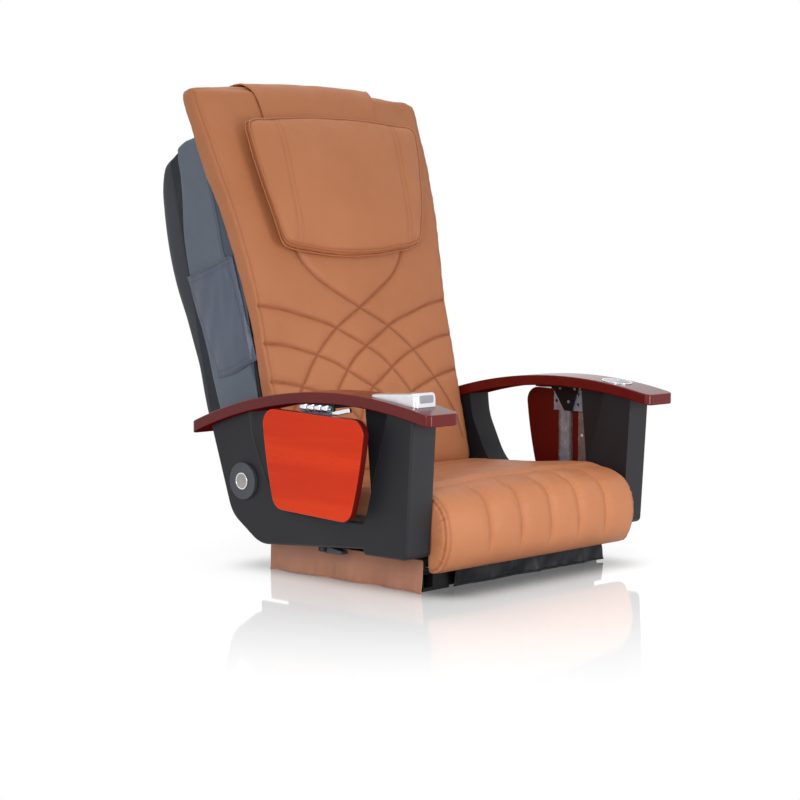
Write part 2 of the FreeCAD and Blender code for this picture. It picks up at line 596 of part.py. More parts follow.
def arcBody(name, side, top, under):
    # strip bent to an arc, drawn in the YZ plane and padded across X
    low, high = mirrored(side, d.boardIn, d.boardOut)
    body = doc.addObject("PartDesign::Body", name)
    sketch = body.newObject("Sketcher::SketchObject", name + "Outline")
    plane = next(item for item in body.Origin.OriginFeatures if item.Role == "YZ_Plane")
    sketch.AttachmentSupport = [(plane, "")]
    sketch.MapMode = "FlatFace"
    bind(sketch, "AttachmentOffset.Base.z", low)
    centre = Vector(float(d.boardTopY), float(boardCentreZ), 0)

    def angle(y, z):
        return math.atan2(float(z) - centre.y, float(y) - centre.x)

    for radius, ends in ((d.boardRadius, top), (underRadius, under[::-1])):
        circle = Part.Circle(centre, Vector(0, 0, 1), float(radius))
        sketch.addGeometry(Part.ArcOfCircle(circle, angle(*ends[1]), angle(*ends[0])), False)
    for outer, inner in ((top[0], under[1]), (top[1], under[0])):
        sketch.addGeometry(Part.LineSegment(Vector(float(outer[0]), float(outer[1]), 0),
                                            Vector(float(inner[0]), float(inner[1]), 0)), False)
    add = sketch.addConstraint
    for arc, radius in ((0, d.boardRadius), (1, underRadius)):
        bind(sketch, f"Constraints[{add(Sketcher.Constraint('DistanceX', arc, 3, centre.x))}]", d.boardTopY)
        bind(sketch, f"Constraints[{add(Sketcher.Constraint('DistanceY', arc, 3, centre.y))}]", boardCentreZ)
        bind(sketch, f"Constraints[{add(Sketcher.Constraint('Radius', arc, float(radius)))}]", radius)
    # an arc runs from its rear end (point 1) to its front end (point 2)
    for line, end, place in ((2, 2, d.boardFrontY), (3, 1, d.boardRearY)):
        add(Sketcher.Constraint("Coincident", line, 1, 0, end))
        add(Sketcher.Constraint("Coincident", line, 2, 1, end))
        add(Sketcher.Constraint("Vertical", line))
        bind(sketch, f"Constraints[{add(Sketcher.Constraint('DistanceX', line, 1, float(place)))}]", place)
    pad = body.newObject("PartDesign::Pad", name + "Pad")
    pad.Profile = sketch
    bind(pad, "Length", length(high) - low)
    doc.recompute()
    return body


def onBoard(piece):
    # seats a piece drawn about the origin on the left board's top, square to the arc, at the cup's place
    slope = math.degrees(math.asin((float(d.boardTopY) - float(d.cupY)) / float(d.boardRadius)))
    piece.Placement = Placement(Vector(float(d.cupX), float(d.cupY), onArc(d.cupY, d.boardRadius)),
                                Rotation(Vector(1, 0, 0), slope))


def flatPiece(points, level):
    return Part.Face(profile(points, "yz", level))


def makeArmShell(side, word):
    near, far, wall = float(d.shellIn), float(d.shellOut), float(d.shellWall)
    web, liftOff = float(d.webOut), float(d.boardTopZ) - float(d.shellTopDrop)
    spans = (d.shellFrontY, d.shellRearY), (d.shellLowZ, liftOff)
    outside = spread([(0, 1), (0.0329, 0.0294, 0.039), (0.227, 0.0294, 0.023), (0.2305, 0.0654, 0.01),
                      (0.7296, 0, 0.229), (0.8718, 0.1765, 0.229), (0.9965, 0.8562), (1, 1)], *spans)
    window = spread([(0.7799, 1), (0.7643, 0.7059, 0.392), (0.6915, 0.4248, 0.392), (0.591, 0.2369, 0.196),
                     (0.234, 0.2369, 0.033), (0.2721, 1)], *spans)
    recess = spread([(0.1109, 1), (0.2236, 0.2369, 0.026), (0.2582, 0.2369), (0.2842, 1)], *spans)
    whole = flatPiece(outside, near).cut(flatPiece(window, near)).Faces[0]
    # the front post steps back to a thin web between the recess lines, open towards the seat
    proud = max(whole.cut(flatPiece(recess, near)).Faces, key=lambda face: face.Area)

    def prism(face, reach, inset=0.0):
        if inset:
            face = face.makeOffset2D(-inset)
        return face.extrude(Vector(reach - near, 0, 0))

    skin = prism(proud, far)
    outerEdges = [edge for edge in skin.Edges if edge.BoundBox.XMin > far - 0.01 and edge.BoundBox.ZMin < liftOff - 1]
    skin = skin.makeFillet(float(d.shellRound), outerEdges).fuse(prism(whole, web))
    hollow = prism(proud, far - wall, wall)
    under = Part.makeCylinder(float(underRadius), 2 * far, Vector(-far, float(d.boardTopY), float(boardCentreZ)),
                              Vector(1, 0, 0))
    hollowTop = Part.makeCylinder(float(underRadius) - wall, 2 * far,
                                  Vector(-far, float(d.boardTopY), float(boardCentreZ)), Vector(1, 0, 0))
    pivot = (float(d.pivotY), float(d.pivotZ))
    hub = Part.makeCylinder(float(d.hubRadius), far - near - wall + 1, Vector(near, *pivot), Vector(1, 0, 0))
    reach = float(d.pinRadius + d.runningGap)
    bore = Part.makeCylinder(reach, float(d.pinOut) + 0.5 - near + 0.5, Vector(near - 0.5, *pivot), Vector(1, 0, 0))
    shell = skin.common(under).cut(hollow.common(hollowTop)).fuse(hub).cut(bore)
    shell = shell.cut(flatPiece(recess, near - wall).extrude(Vector(web - near, 0, 0)))
    liner = whole.extrude(Vector(-float(d.linerThick), 0, 0)).common(under)
    liner = liner.cut(flatPiece(recess, near - 2 * wall).extrude(Vector(4 * wall, 0, 0)))
    liner = liner.cut(Part.makeCylinder(reach + 0.6, 2 * wall, Vector(near - 2 * wall, *pivot), Vector(1, 0, 0)))
    # two lugs under the shell hold the release lever's pin
    earLow, earTop = float(d.tabPinZ - d.tabHalf + 5), float(d.tabPinZ + d.tabHalf + 5)
    for x in (-d.tabHalf - 4, d.tabHalf + 1):
        start = float(d.leverX + x)
        ear = slab([(-4, earLow), (earTop - earLow - 4, earLow), (earTop - earLow - 4, earTop), (-4, earTop)], "yz",
                   start, start + wall)
        shell = shell.fuse(ear.cut(Part.makeCylinder(float(d.tabPinRadius + d.runningGap), wall + 2,
                                                     Vector(start - 1, float(d.tabPinY), float(d.tabPinZ)),
                                                     Vector(1, 0, 0))))
    if side < 0:
        shell, liner = (shape.mirror(Vector(), Vector(1, 0, 0)) for shape in (shell, liner))
    node(shaped("armShell" + word, shell), "arm_shell_" + word)
    node(shaped("armLiner" + word, liner), "arm_liner_" + word)

    capOut = d.shellOut + d.capThick
    pivot = (d.pivotY, d.pivotZ)
    cap = rod("capDisc" + word, d.capRadius, "x", mirrored(side, d.shellOut, capOut), pivot)
    dish = rod("capDish" + word, d.discRadius, "x", mirrored(side, capOut - 1, capOut + 1), pivot)
    node(cut("pivotCap" + word, cap, dish), "pivot_cap_" + word)
    disc = rod("discBlank" + word, d.discRadius, "x", mirrored(side, capOut - 1, capOut - 1 + d.discThick), pivot)
    node(disc, "pivot_disc_" + word)


def makeReleaseLever(side, word):
    near, far = mirrored(side, d.leverX - d.tabHalf, d.leverX + d.tabHalf)
    y, z = float(d.tabPinY), float(d.tabPinZ)
    front, thick = y - float(d.tabLong), float(d.tabThick)
    rear, knee = y + float(d.tabHalf), y - float(d.tabHalf) - 1
    outline = [(rear, z - thick + 1), (rear, z + 4), (knee, z + 6), (front, z, 2), (front, z - thick, 2),
               (knee, z - thick)]
    tab = shaped("leverTab" + word, slab(outline, "yz", near, far))
    pin = rod("leverPin" + word, d.tabPinRadius, "x",
              mirrored(side, d.leverX - d.tabHalf - 4, d.leverX + d.tabHalf + 4), (d.tabPinY, d.tabPinZ))
    node(joined("releaseLever" + word, tab, pin), "release_lever_" + word)


def makeTray(side, word):
    # the board: four corners, with its two upright edges bowed
    corners = [(d.trayRearY, d.trayTopZ), (d.trayFrontY, d.trayTopZ - d.trayTopFall, d.trayBow),
               (d.trayFrontY + d.trayFrontRake, d.trayLowZ),
               (d.trayRearY - d.trayRearRake, d.trayLowZ + d.trayTopFall, d.trayBow)]
    body = sketched("trayBoard" + word, side, corners, d.trayIn, d.trayIn + d.trayThick)
    rounded(body, "trayCorners" + word, d.trayCorner, runsAcross)
    rounded(body, "trayEdges" + word, d.trayEdge, lambda edge: edge.BoundBox.XLength < 0.01)
    node(body, "tray_board_" + word)

    track = box("trackBar" + word, mirrored(side, d.trayIn - d.trackDeep, d.trayIn), (d.trackFrontY, d.trackRearY),
                (d.trackLow, d.trackTop))
    slot = box("trackSlot" + word, mirrored(side, d.trayIn - d.trackDeep - 1, d.trayIn - d.trackWall / 2),
               (d.trackFrontY + d.trackWall, d.trackRearY - d.trackWall), (d.trackLow - 1, d.trackTop + 1))
    strip = box("trackStrip" + word, mirrored(side, d.trayIn - d.stripDeep, d.trayIn),
                (d.stripFrontY, d.stripRearY), (d.trackLow, d.trackTop))
    foot = box("trackFoot" + word, mirrored(side, d.trayIn - d.trackWall, d.trayIn), (d.stripRearY, d.trackFrontY),
               (d.trackLow, d.trackLow + d.trackFoot))
    node(joined("trayTracks" + word, cut("track" + word, track, slot), strip, foot), "tray_tracks_" + word)

    # fixed bracket under the arm board, with two ears that hold the hinge pin
    top = d.hingeZ + d.plateLift
    plate = box("bracketPlate" + word, mirrored(side, d.bracketIn, d.gussetOut),
                (d.hingeFrontY - d.earThick, d.hingeRearY + 9), (top - 10, top))
    gussetSpan = mirrored(side, d.gussetOut - d.gussetThick, d.gussetOut)
    gusset = shaped("bracketGusset" + word,
                    slab(spread([(1.1, 1), (0.04, 1), (0.32, 0), (0.57, 0)], (d.hingeFrontY, d.hingeRearY),
                                (d.carrierLow, top)), "yz", *gussetSpan))
    ears = []
    for k, y in enumerate((d.hingeFrontY - d.earThick, d.hingeRearY)):
        ears.append(box(f"bracketEar{k}{word}", mirrored(side, d.gussetOut - d.earThick, d.hingeX), (y, y + d.earThick),
                        (d.hingeZ - d.earRadius, d.hingeZ + d.earRadius)))
        ears.append(rod(f"bracketEye{k}{word}", d.earRadius, "y", (y, y + d.earThick), (side * d.hingeX, d.hingeZ)))
    blank = common("bracketBlank" + word, joined("bracketParts" + word, plate, gusset, *ears),
                   boardCylinder("bracketLimit" + word, underRadius, (0, d.boardOut), side))
    hole = rod("bracketHole" + word, d.hingePinRadius, "y", (d.hingeFrontY - 5, d.hingeRearY + 5),
               (side * d.hingeX, d.hingeZ))
    node(cut("trayBracket" + word, blank, hole), "tray_bracket_" + word)
    node(rod("hingePin" + word, d.hingePinRadius, "y", (d.hingeFrontY - d.earThick, d.hingeRearY + d.earThick),
             (side * d.hingeX, d.hingeZ)), "tray_hinge_pin_" + word)

    # carrier: knuckle, drilled plate and the runner that slides in the tray's track
    knuckle = rod("knuckle" + word, d.knuckleRadius, "y", (d.hingeFrontY + d.slideGap, d.hingeRearY - d.slideGap),
                  (side * d.hingeX, d.hingeZ))
    carrierOut = d.carrierIn + d.carrierThick
    plate = box("carrierPlate" + word, mirrored(side, d.carrierIn, carrierOut),
                (d.hingeFrontY + 1, d.hingeRearY - 1), (d.carrierLow, d.hingeZ - 2))
    runIn, runOut = d.trayIn - d.trackDeep + d.slideGap, d.trayIn - d.trackWall / 2 - d.slideGap
    runFront, runRear = d.trackFrontY + d.trackWall + d.slideGap, d.trackRearY - d.trackWall - d.slideGap
    runner = box("carrierRunner" + word, mirrored(side, runIn, runOut), (runFront, runRear),
                 (d.trackLow + 2, d.trackTop + 3))
    pad = box("carrierPad" + word, mirrored(side, carrierOut - 1, runIn + 0.7), (runFront + 6, runRear - 6),
              (d.carrierLow + 2, d.trackTop + 2))
    spots = ((d.hingeFrontY + 11, d.carrierLow + 14), (d.hingeFrontY + 11, d.carrierLow + 36),
             (d.hingeRearY - 8, d.carrierLow + 20))
    holes = [rod(f"carrierHole{k}{word}", d.carrierHole, "x", mirrored(side, d.carrierIn - 1, carrierOut + 1), spot)
             for k, spot in enumerate(spots)]
    bore = rod("knuckleBore" + word, d.hingePinRadius + d.runningGap, "y", (d.hingeFrontY, d.hingeRearY),
               (side * d.hingeX, d.hingeZ))
    node(cut("trayCarrier" + word, joined("carrierParts" + word, knuckle, plate, runner, pad), bore, *holes),
         "tray_carrier_" + word)


def consoleTop(y):
    share = (y - d.consoleFrontY) / (d.consoleRearY - d.consoleFrontY)
    return d.consoleFrontZ + (d.consoleRearZ - d.consoleFrontZ) * share


def makeConsole():
    foot = d.consoleRearZ - d.consoleSink
    corners = [(d.consoleFrontY, d.consoleFrontZ), (d.consoleFrontY, foot), (d.consoleRearY, foot),
               (d.consoleRearY, d.consoleRearZ)]
    body = sketched("consoleBlank", right, corners, d.consoleIn, d.consoleOut)
    rounded(body, "consoleRearCorners", d.consoleRound,
            lambda edge: edge.BoundBox.XLength < 0.01 and edge.BoundBox.YLength < 0.01
            and edge.BoundBox.YMax > float(d.consoleRearY) - 1)
    holes = []
    rows = (d.consoleFrontY + d.buttonInset, d.consoleFrontY + d.buttonInset + d.buttonStep)
    columns = (d.consoleMiddle + d.buttonStep / 2, d.consoleMiddle - d.buttonStep / 2)
    for k, name in enumerate(("recline_back", "recline_forward", "seat_slide", "massage")):
        x, y = -columns[k % 2], rows[k // 2]
        top = consoleTop(y)
        low = top - d.buttonDeep
        holes.append(rod(f"buttonHole{k}", d.buttonRadius + d.buttonGap, "z",
                         (low - d.buttonTravel - 0.4, top + 3), (x, y)))
        button = rod(f"button{k}", d.buttonRadius, "z", (low, top + d.buttonProud), (x, y))
        node(button, "button_" + name)
    under = rod("consoleSeat", d.boardRadius, "x", (-d.consoleOut - 1, 1 - d.consoleIn), (d.boardTopY, boardCentreZ))
    node(cut("consoleHousing", body, under, *holes), "console_housing")


def makeCupHolder():
    rim = rod("cupRimDisc", d.cupRim, "z", (0, d.cupWall), (0, 0))
    wall = rod("cupWallOuter", d.cupRadius, "z", (-d.cupDeep, d.cupWall), (0, 0))
    inside = rod("cupInside", d.cupRadius - d.cupWall, "z", (d.cupWall - d.cupDeep, d.cupDeep), (0, 0))
    cup = cut("cupHolder", joined("cupBlank", rim, wall), inside)
    onBoard(cup)
    node(cup, "cup_holder")


def makeBackFrame():
    # backrest pieces are drawn about the pivot: y is v, rearward across the back, and z is u, up along it
    parts = []
    outline = spread([(0, 0, 0.016), (0.383, 0, 0.019), (0.6596, 0.0521), (0.6596, 0.6639), (0.9149, 0.8971),
                      (1, 1), (0.6383, 1), (0.4468, 0.8971), (uprightFace, 0.6639), (uprightFace, 0.0823),
                      (0, 0.0357, 0.014)], (d.frameFrontV, d.frameRearV), (d.frameFootU, frameTopU))
    for side, word in sides:
        near, far = mirrored(side, d.uprightIn, d.uprightOut)
        blank = shaped("upright" + word + "Blank", slab(outline, "yz", near, far))
        hole = rod("upright" + word + "Hole", d.pinRadius + d.runningGap, "x", (near - 1, far + 1), (0, 0))
        parts.append(cut("upright" + word, blank, hole))
    for name, u, v in (("Low", d.lowBarU, d.rodV - d.barDeep / 2), ("High", highBarU, d.rodV + 8 - d.barDeep / 2)):
        bar = box("bar" + name, (-d.uprightIn, d.uprightIn), (v, v + d.barDeep), (u, u + d.barThick))
        hole = rod("bar" + name + "Hole", d.screwRadius + d.slideGap, "z", (u - 1, u + d.barThick + 1), (0, d.rodV))
        parts.append(cut("barDrilled" + name, bar, hole))
    parts.append(box("barTop", (-d.uprightIn, d.uprightIn), (d.frameRearV - 32, d.frameRearV - 8),
                     (frameTopU - 5 - d.barThick, frameTopU - 5)))

    slant = math.radians(float(d.leverTilt) + float(d.leanAngle))
    reach, half = float(d.leverReach), float(d.leverHalf)

    def beside(along, across):
        # point at a distance down the lever's centre line and across it
        return (along * math.sin(slant) + across * math.cos(slant), across * math.sin(slant) - along * math.cos(slant))

    low = float(d.lowBarU)
    front = float(d.rodV - d.barDeep / 2)
    rear, top = front + float(d.barDeep), low + float(d.barThick)
    outline = [(front, top), (rear, top), (rear, low - 30), beside(20, half), beside(reach, half),
               beside(reach, -half), beside(30, -half), (front, low - 35)]
    slotHalf = float(d.drivePinRadius + d.slotPlay)
    slotStart = reach - float(d.slotLong)
    slot = [beside(slotStart, -slotHalf), beside(slotStart, slotHalf), beside(reach + 5, slotHalf),
            beside(reach + 5, -slotHalf)]
    halfThick = float(d.leverThick) / 2
    lever = slab(outline, "yz", -halfThick, halfThick).cut(slab(slot, "yz", -halfThick - 1, halfThick + 1))
    screwWay = Part.makeCylinder(float(d.screwRadius + d.slideGap), 60, Vector(0, float(d.rodV), low - 20))
    parts.append(shaped("reclineLever", lever.cut(screwWay)))
    node(joined("backFrame", *parts), "back_frame", leaning=True)


def makeBackShell():
    half, wall = float(d.backHalf), float(d.sideWall)
    line, rear = float(d.sideLine), float(d.coverRearV)
    spans = (d.padBack + 1, d.sideLine), (d.sideLowU, d.padTopU - d.sideDrop)
    outline = spread([(0, 0), (0.7019, 0, 0.028), (1, 0.1152, 0.056), (1, 0.9551, 0.014), (0.5963, 0.9944, 0.011),
                      (0.2174, 1), (0.1429, 0.9073), (0.0745, 0.8146), (0.0124, 0.6882), (0, 0.618)], *spans)
    inner = spread([(-0.2174, -0.0421), (1.3354, -0.0421), (1.3354, 0.9073), (0.5963, 0.9831),
                    (-0.2174, 0.9888)], *spans)
    shell = slab(outline, "yz", -half, half).cut(slab(inner, "yz", wall - half, half - wall))
    node(shaped("backShell", shell), "back_shell", leaning=True)

    # rear cover: bulged side profile, narrowed towards the rear
    def cover(shrink):
        start = line + 0.3 if not shrink else line - 5
        low, high = float(d.coverLowU) + shrink, float(d.padTopU - d.coverDrop) - shrink
        side = spread([(0, 0), (0.2723, 0.1469), (0.3476, 0.2789, 0.099), (0.9247, 0.5099, 0.132), (1, 0.7327, 0.33),
                       (0.8243, 0.8894, 0.132), (0.4981, 0.9703, 0.05), (0, 1)], (start, rear - shrink), (low, high))
        width, taper = float(d.coverHalf) - shrink, float(d.coverTaper)
        plan = [(-width, start - 1), (width, start - 1), (width, line + 4), (width - taper, rear + 4 - shrink),
                (taper - width, rear + 4 - shrink), (-width, line + 4)]
        return slab(side, "yz", -width, width).common(slab(plan, "xy", low - shrink - 1, high + shrink + 1))

    node(shaped("backCover", cover(0).cut(cover(float(d.coverWall)))), "back_cover", leaning=True)


def padFront(u):
    # front face of the pad at its sides, in the backrest's frame
    marks = ((0, 0), (0.5825, 0), (0.693, 0.1395), (0.7561, 0.2907), (0.8204, 0.4419), (0.8883, 0.6279),
             (0.9515, 0.8372), (1.0073, 1))
    return float(d.padFrontV) + float(d.headLean) * between(marks, u / float(d.padTopU))


def padHalf(u):
    marks = ((0, 0.0392), (0.2306, 0), (0.4369, 0), (0.5704, 0.2353), (0.693, 0.5098), (0.8204, 0.7843),
             (0.8883, 0.8627), (0.9515, 0.9314), (1.0073, 1))
    return float(d.padWaist) + float(d.padFlare) * between(marks, u / float(d.padTopU))


def softSection(u, half, front, back, crown, draw):
    # cross section of a crowned pad: flat back, drawn-in sides and a bowed front
    def at(x, v):
        return Vector(x, v, u)

    corner = (back - front) * 0.2
    shoulder = front + corner
    middle = (shoulder + back) / 2
    bend = corner * 0.3
    return Part.Wire([
        Part.LineSegment(at(-half, back), at(half, back)).toShape(),
        Part.Arc(at(half, back), at(half - draw, middle), at(half, shoulder)).toShape(),
        Part.Arc(at(half, shoulder), at(half - bend, front + bend), at(half - corner, front)).toShape(),
        Part.Arc(at(half - corner, front), at(0, front - crown), at(corner - half, front)).toShape(),
        Part.Arc(at(corner - half, front), at(bend - half, front + bend), at(-half, shoulder)).toShape(),
        Part.Arc(at(-half, shoulder), at(draw - half, middle), at(-half, back)).toShape(),
    ])


def makeBackPad():
    thick, crown, top = float(d.padThick), float(d.padCrown), float(d.padTopU)
    toe, tuck = float(d.padToeU), float(d.padBack + d.padToeU) - thick - 3
    wires = [softSection(float(d.padLowU), padHalf(0) - 3, padFront(0) + 3, tuck - toe / 2, crown * 0.5, 1),
             softSection(toe, padHalf(toe), padFront(toe), tuck, crown * 0.8, 1.5)]
    for share in (0.06, 0.091, 0.127, 0.182, 0.267, 0.364, 0.473, 0.57, 0.631, 0.693, 0.756, 0.82, 0.888, 0.951,
                  0.978):
        u = top * share
        back = min(padFront(u) + thick, (u - toe) * 0.45 + tuck)
        wires.append(softSection(u, padHalf(u), padFront(u), back, crown, 3))
    wires.append(softSection(top - 8, padHalf(top) - 1, padFront(top), padFront(top) + thick - 2, crown * 0.7, 3))
    wires.append(softSection(top, padHalf(top) - 10, padFront(top) + 8, padFront(top) + thick - 10, crown * 0.5, 2))
    pad = loft(wires)
    # blocks on the pad's back board meet the uprights
    face = float(d.frameFrontV + (d.frameRearV - d.frameFrontV) * uprightFace)
    near, high = float(d.uprightIn) + 2, float(d.padBlock)
    for side, word in sides:
        for share in (0.22, 0.5):
            low, deep = top * share, face - float(d.padBack) + 4
            start = near if side > 0 else -near - high
            pad = pad.fuse(Part.makeBox(high, deep, high * 2, Vector(start, face - deep, low)))
    node(shaped("backPad", pad), "back_pad", leaning=True)


def makePillow():
    padTop = float(d.padTopU)
    top = padTop - float(d.pillowDrop)
    span, widest, plump = float(d.pillowHigh), float(d.pillowHalf), float(d.pillowThick)
    # share of the height, of the half width and of the thickness, then the bow of the front
    marks = ((0.0, 0.26, 0.2, 2), (0.02, 0.55, 0.36, 4), (0.08, 0.754, 0.66, 10), (0.16, 0.825, 0.8, 14),
             (0.385, 0.861, 0.9, 18), (0.655, 0.925, 1.0, 20), (0.86, 0.977, 1.0, 15), (0.95, 0.996, 0.9, 10),
             (1.0, 0.97, 0.6, 5))
    wires = []
    for share, half, thick, crown in marks:
        u = top - span * (1 - share)
        rest = padFront(u) - float(d.padCrown) - float(d.flapThick) - 2
        wires.append(softSection(u, half * widest, rest - thick * plump, rest, crown, 1.5))
    node(shaped("pillow", loft(wires)), "pillow", leaning=True)

    # strap sheet over the top of the pad: down the front behind the pillow, and down the back
    thick, over = float(d.flapThick), padTop + 2
    face, behind = float(d.padCrown) + 1.5, float(d.padThick) + 1.5
    low, crest = padTop - float(d.flapFront), padTop - thick * 3
    levels = [low + (crest - low) * share for share in (0.336, 0.752)]
    fold = padFront(crest)
    front = [(padFront(u) - face, u) for u in (low, *levels, crest)]
    back = [(padFront(u) + behind, u) for u in (crest, padTop - float(d.flapBehind))]
    inner = front + [(fold - 4, over), (fold + behind - 5.5, over)] + back
    outer = [(v + thick, u) for v, u in back[::-1]]
    outer += [(fold + behind - 3.5, over + thick), (fold - 6, over + thick)]
    outer += [(v - thick, u) for v, u in front[::-1]]
    half = float(d.flapHalf)
    node(shaped("pillowFlap", slab(inner + outer, "yz", -half, half)), "pillow_flap", leaning=True)


def makePocket():
    near, deep, cloth = float(d.backHalf) + 0.2, float(d.pocketDeep), float(d.clothThick)
    spans = (d.pocketFrontV, d.pocketRearV), (d.pocketLowU, d.pocketTopU)
    outline = spread([(0.0411, 1), (1, 0.9494), (0.7534, 0), (0, 0.0549)], *spans)
    (frontTop, rearTop, rearLow, frontLow) = outline
    mouth = frontTop[1] + 14
    inside = [(frontTop[0] + cloth, mouth), (rearTop[0] - cloth, mouth), (rearLow[0] - cloth, rearLow[1] + cloth),
              (frontLow[0] + cloth, frontLow[1] + cloth)]
    pocket = slab(outline, "yz", -near - deep - cloth, -near)
    pocket = pocket.cut(slab(inside, "yz", -near - deep, -near - 0.8))
    node(shaped("sidePocket", pocket), "side_pocket", leaning=True)


def makeMassageUnit():
    lowTop, highTop = d.lowBarU + d.barThick, highBarU + d.barThick
    rods = [rod("guideRod" + word, d.guideRadius, "z", (lowTop, highBarU), (side * d.rodSpread, d.rodV))
            for side, word in sides]
    node(grouped("guideRods", *rods), "guide_rods", leaning=True)
    motor = box("liftMotorCase", (-d.motorHalf, d.motorHalf), (d.rodV - 3, d.rodV - 3 + d.motorHalf * 1.77),
                (highTop, highTop + d.motorHalf * 2.23))
    well = rod("liftMotorWell", d.screwRadius + d.slideGap, "z", (highTop - 1, highTop + d.screwStub + 2), (0, d.rodV))
    node(cut("liftMotor", motor, well), "lift_motor", leaning=True)
    screw = rod("liftScrewBar", d.screwRadius, "z", (d.lowBarU + d.slideGap, highTop + d.screwStub), (0, d.rodV))
    node(grouped("liftScrew", screw), "lift_screw", leaning=True)

    low, high = d.carriageU, d.carriageU + d.carriageHigh
    plateV = d.rodV + d.bushRadius
    plate = box("carriagePlate", (-(d.rodSpread + 30), d.rodSpread + 30), (plateV, plateV + 6), (low, high))
    bushes, bores = [], []
    for side, word in sides:
        for k, u in enumerate((low, high - d.bushLong)):
            bushes.append(rod(f"bush{k}{word}", d.bushRadius + 2, "z", (u, u + d.bushLong),
                              (side * d.rodSpread, d.rodV)))
        bores.append(rod("bushBore" + word, d.guideRadius + d.runningGap, "z", (low - 1, high + 1),
                         (side * d.rodSpread, d.rodV)))
    nut = rod("liftNut", d.bushRadius + 4, "z", (low + d.bushLong + 10, high - d.bushLong - 10), (0, d.rodV))
    bores.append(rod("nutBore", d.screwRadius + d.slideGap, "z", (low, high), (0, d.rodV)))
    lugs = [box("rockerLug" + word, mirrored(side, d.lugIn, d.lugIn + d.lugThick), (d.rockerV - 7, d.rockerV + 7),
                (high - 5, d.rockerU + 8)) for side, word in sides]
    rockerIn = d.lugIn + d.lugThick + 4
    rockerOut = rockerIn + d.bladeThick
    shaft = rod("rockerShaft", d.rockerPin, "x", (-rockerOut - 1, rockerOut + 1), (d.rockerV, d.rockerU))
    node(cut("carriage", joined("carriageBlank", plate, nut, shaft, *bushes, *lugs), *bores), "massage_carriage",
         leaning=True)
    caseIn = plateV + 6
    case = box("kneadCase", (-d.kneadHalf, d.kneadHalf), (caseIn, caseIn + d.kneadHalf - 2), (low + 10, high - 10))
    can = rod("kneadCan", d.kneadCan, "x", (d.kneadHalf, d.kneadHalf + d.kneadCanLong),
              (caseIn + d.kneadCan + 6, low + d.carriageHigh / 2))
    node(joined("kneadMotor", case, can), "kneading_motor", leaning=True)

    wheelIn = rockerOut + 2
    for side, word in sides:
        near, far = mirrored(side, rockerIn, rockerOut)
        half, tip = float(d.rockerPin) * 2, float(d.rockerPin) * 1.6
        (rockerV, rockerU), (rollerV, rollerU) = [(float(v), float(u)) for v, u in ((d.rockerV, d.rockerU),
                                                                                    (d.rollerV, d.rollerU))]
        outline = [(rockerV - half, rockerU - half, 6), (rockerV + half, rockerU - half, 6),
                   (rollerV + tip, rollerU + tip, 6), (rollerV - tip, rollerU + tip, 6)]
        blade = shaped("rockerBlade" + word, slab(outline, "yz", near, far))
        hole = rod("rockerHole" + word, d.rockerPin + d.runningGap, "x", (near - 1, far + 1), (d.rockerV, d.rockerU))
        axle = rod("rollerAxle" + word, d.rockerPin, "x", mirrored(side, rockerIn, wheelIn + d.rollerWide + 2),
                   (d.rollerV, d.rollerU))
        node(joined("rocker" + word, cut("rockerArm" + word, blade, hole), axle), "roller_arm_" + word, leaning=True)
        wheel = rod("rollerDisc" + word, d.rollerRadius, "x", mirrored(side, wheelIn, wheelIn + d.rollerWide),
                    (d.rollerV, d.rollerU))
        bore = rod("rollerBore" + word, d.rockerPin + d.runningGap, "x",
                   mirrored(side, wheelIn - 1, wheelIn + d.rollerWide + 1), (d.rollerV, d.rollerU))
        node(cut("roller" + word, wheel, bore), "roller_" + word, leaning=True)


makeBase()
makeSkirts()
makeBaseDrives()
makeSeatFrame()
makeReclineDrive()
makeSeatCushion()
for side, word in sides:
    makeArmBoard(side, word)
    makeArmShell(side, word)
    makeReleaseLever(side, word)
    makeTray(side, word)
makeConsole()
makeCupHolder()
makeBackFrame()
makeBackShell()
makeBackPad()
makePillow()
makePocket()
makeMassageUnit()
doc.recompute()

for thing in doc.Objects:
    if "Invalid" in thing.State or "Error" in thing.State:
        raise RuntimeError(f"{thing.Name} failed: {thing.State}")
for piece in finished:
    if piece.Shape.isNull() or not piece.Shape.isValid() or not piece.Shape.Solids:
        raise RuntimeError(f"{piece.Label} has no valid solid")
    if piece.Shape.Volume <= 0:
        raise RuntimeError(f"{piece.Label} is inside out")

os.makedirs("parts", exist_ok=True)
for piece in finished:
    piece.Shape.exportStep(f"parts/{piece.Label}.step")
print(len(finished), "sub-parts written")
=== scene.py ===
import json
import math

import bmesh
import bpy
import numpy as np
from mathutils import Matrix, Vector, kdtree, noise
from mathutils.bvhtree import BVHTree


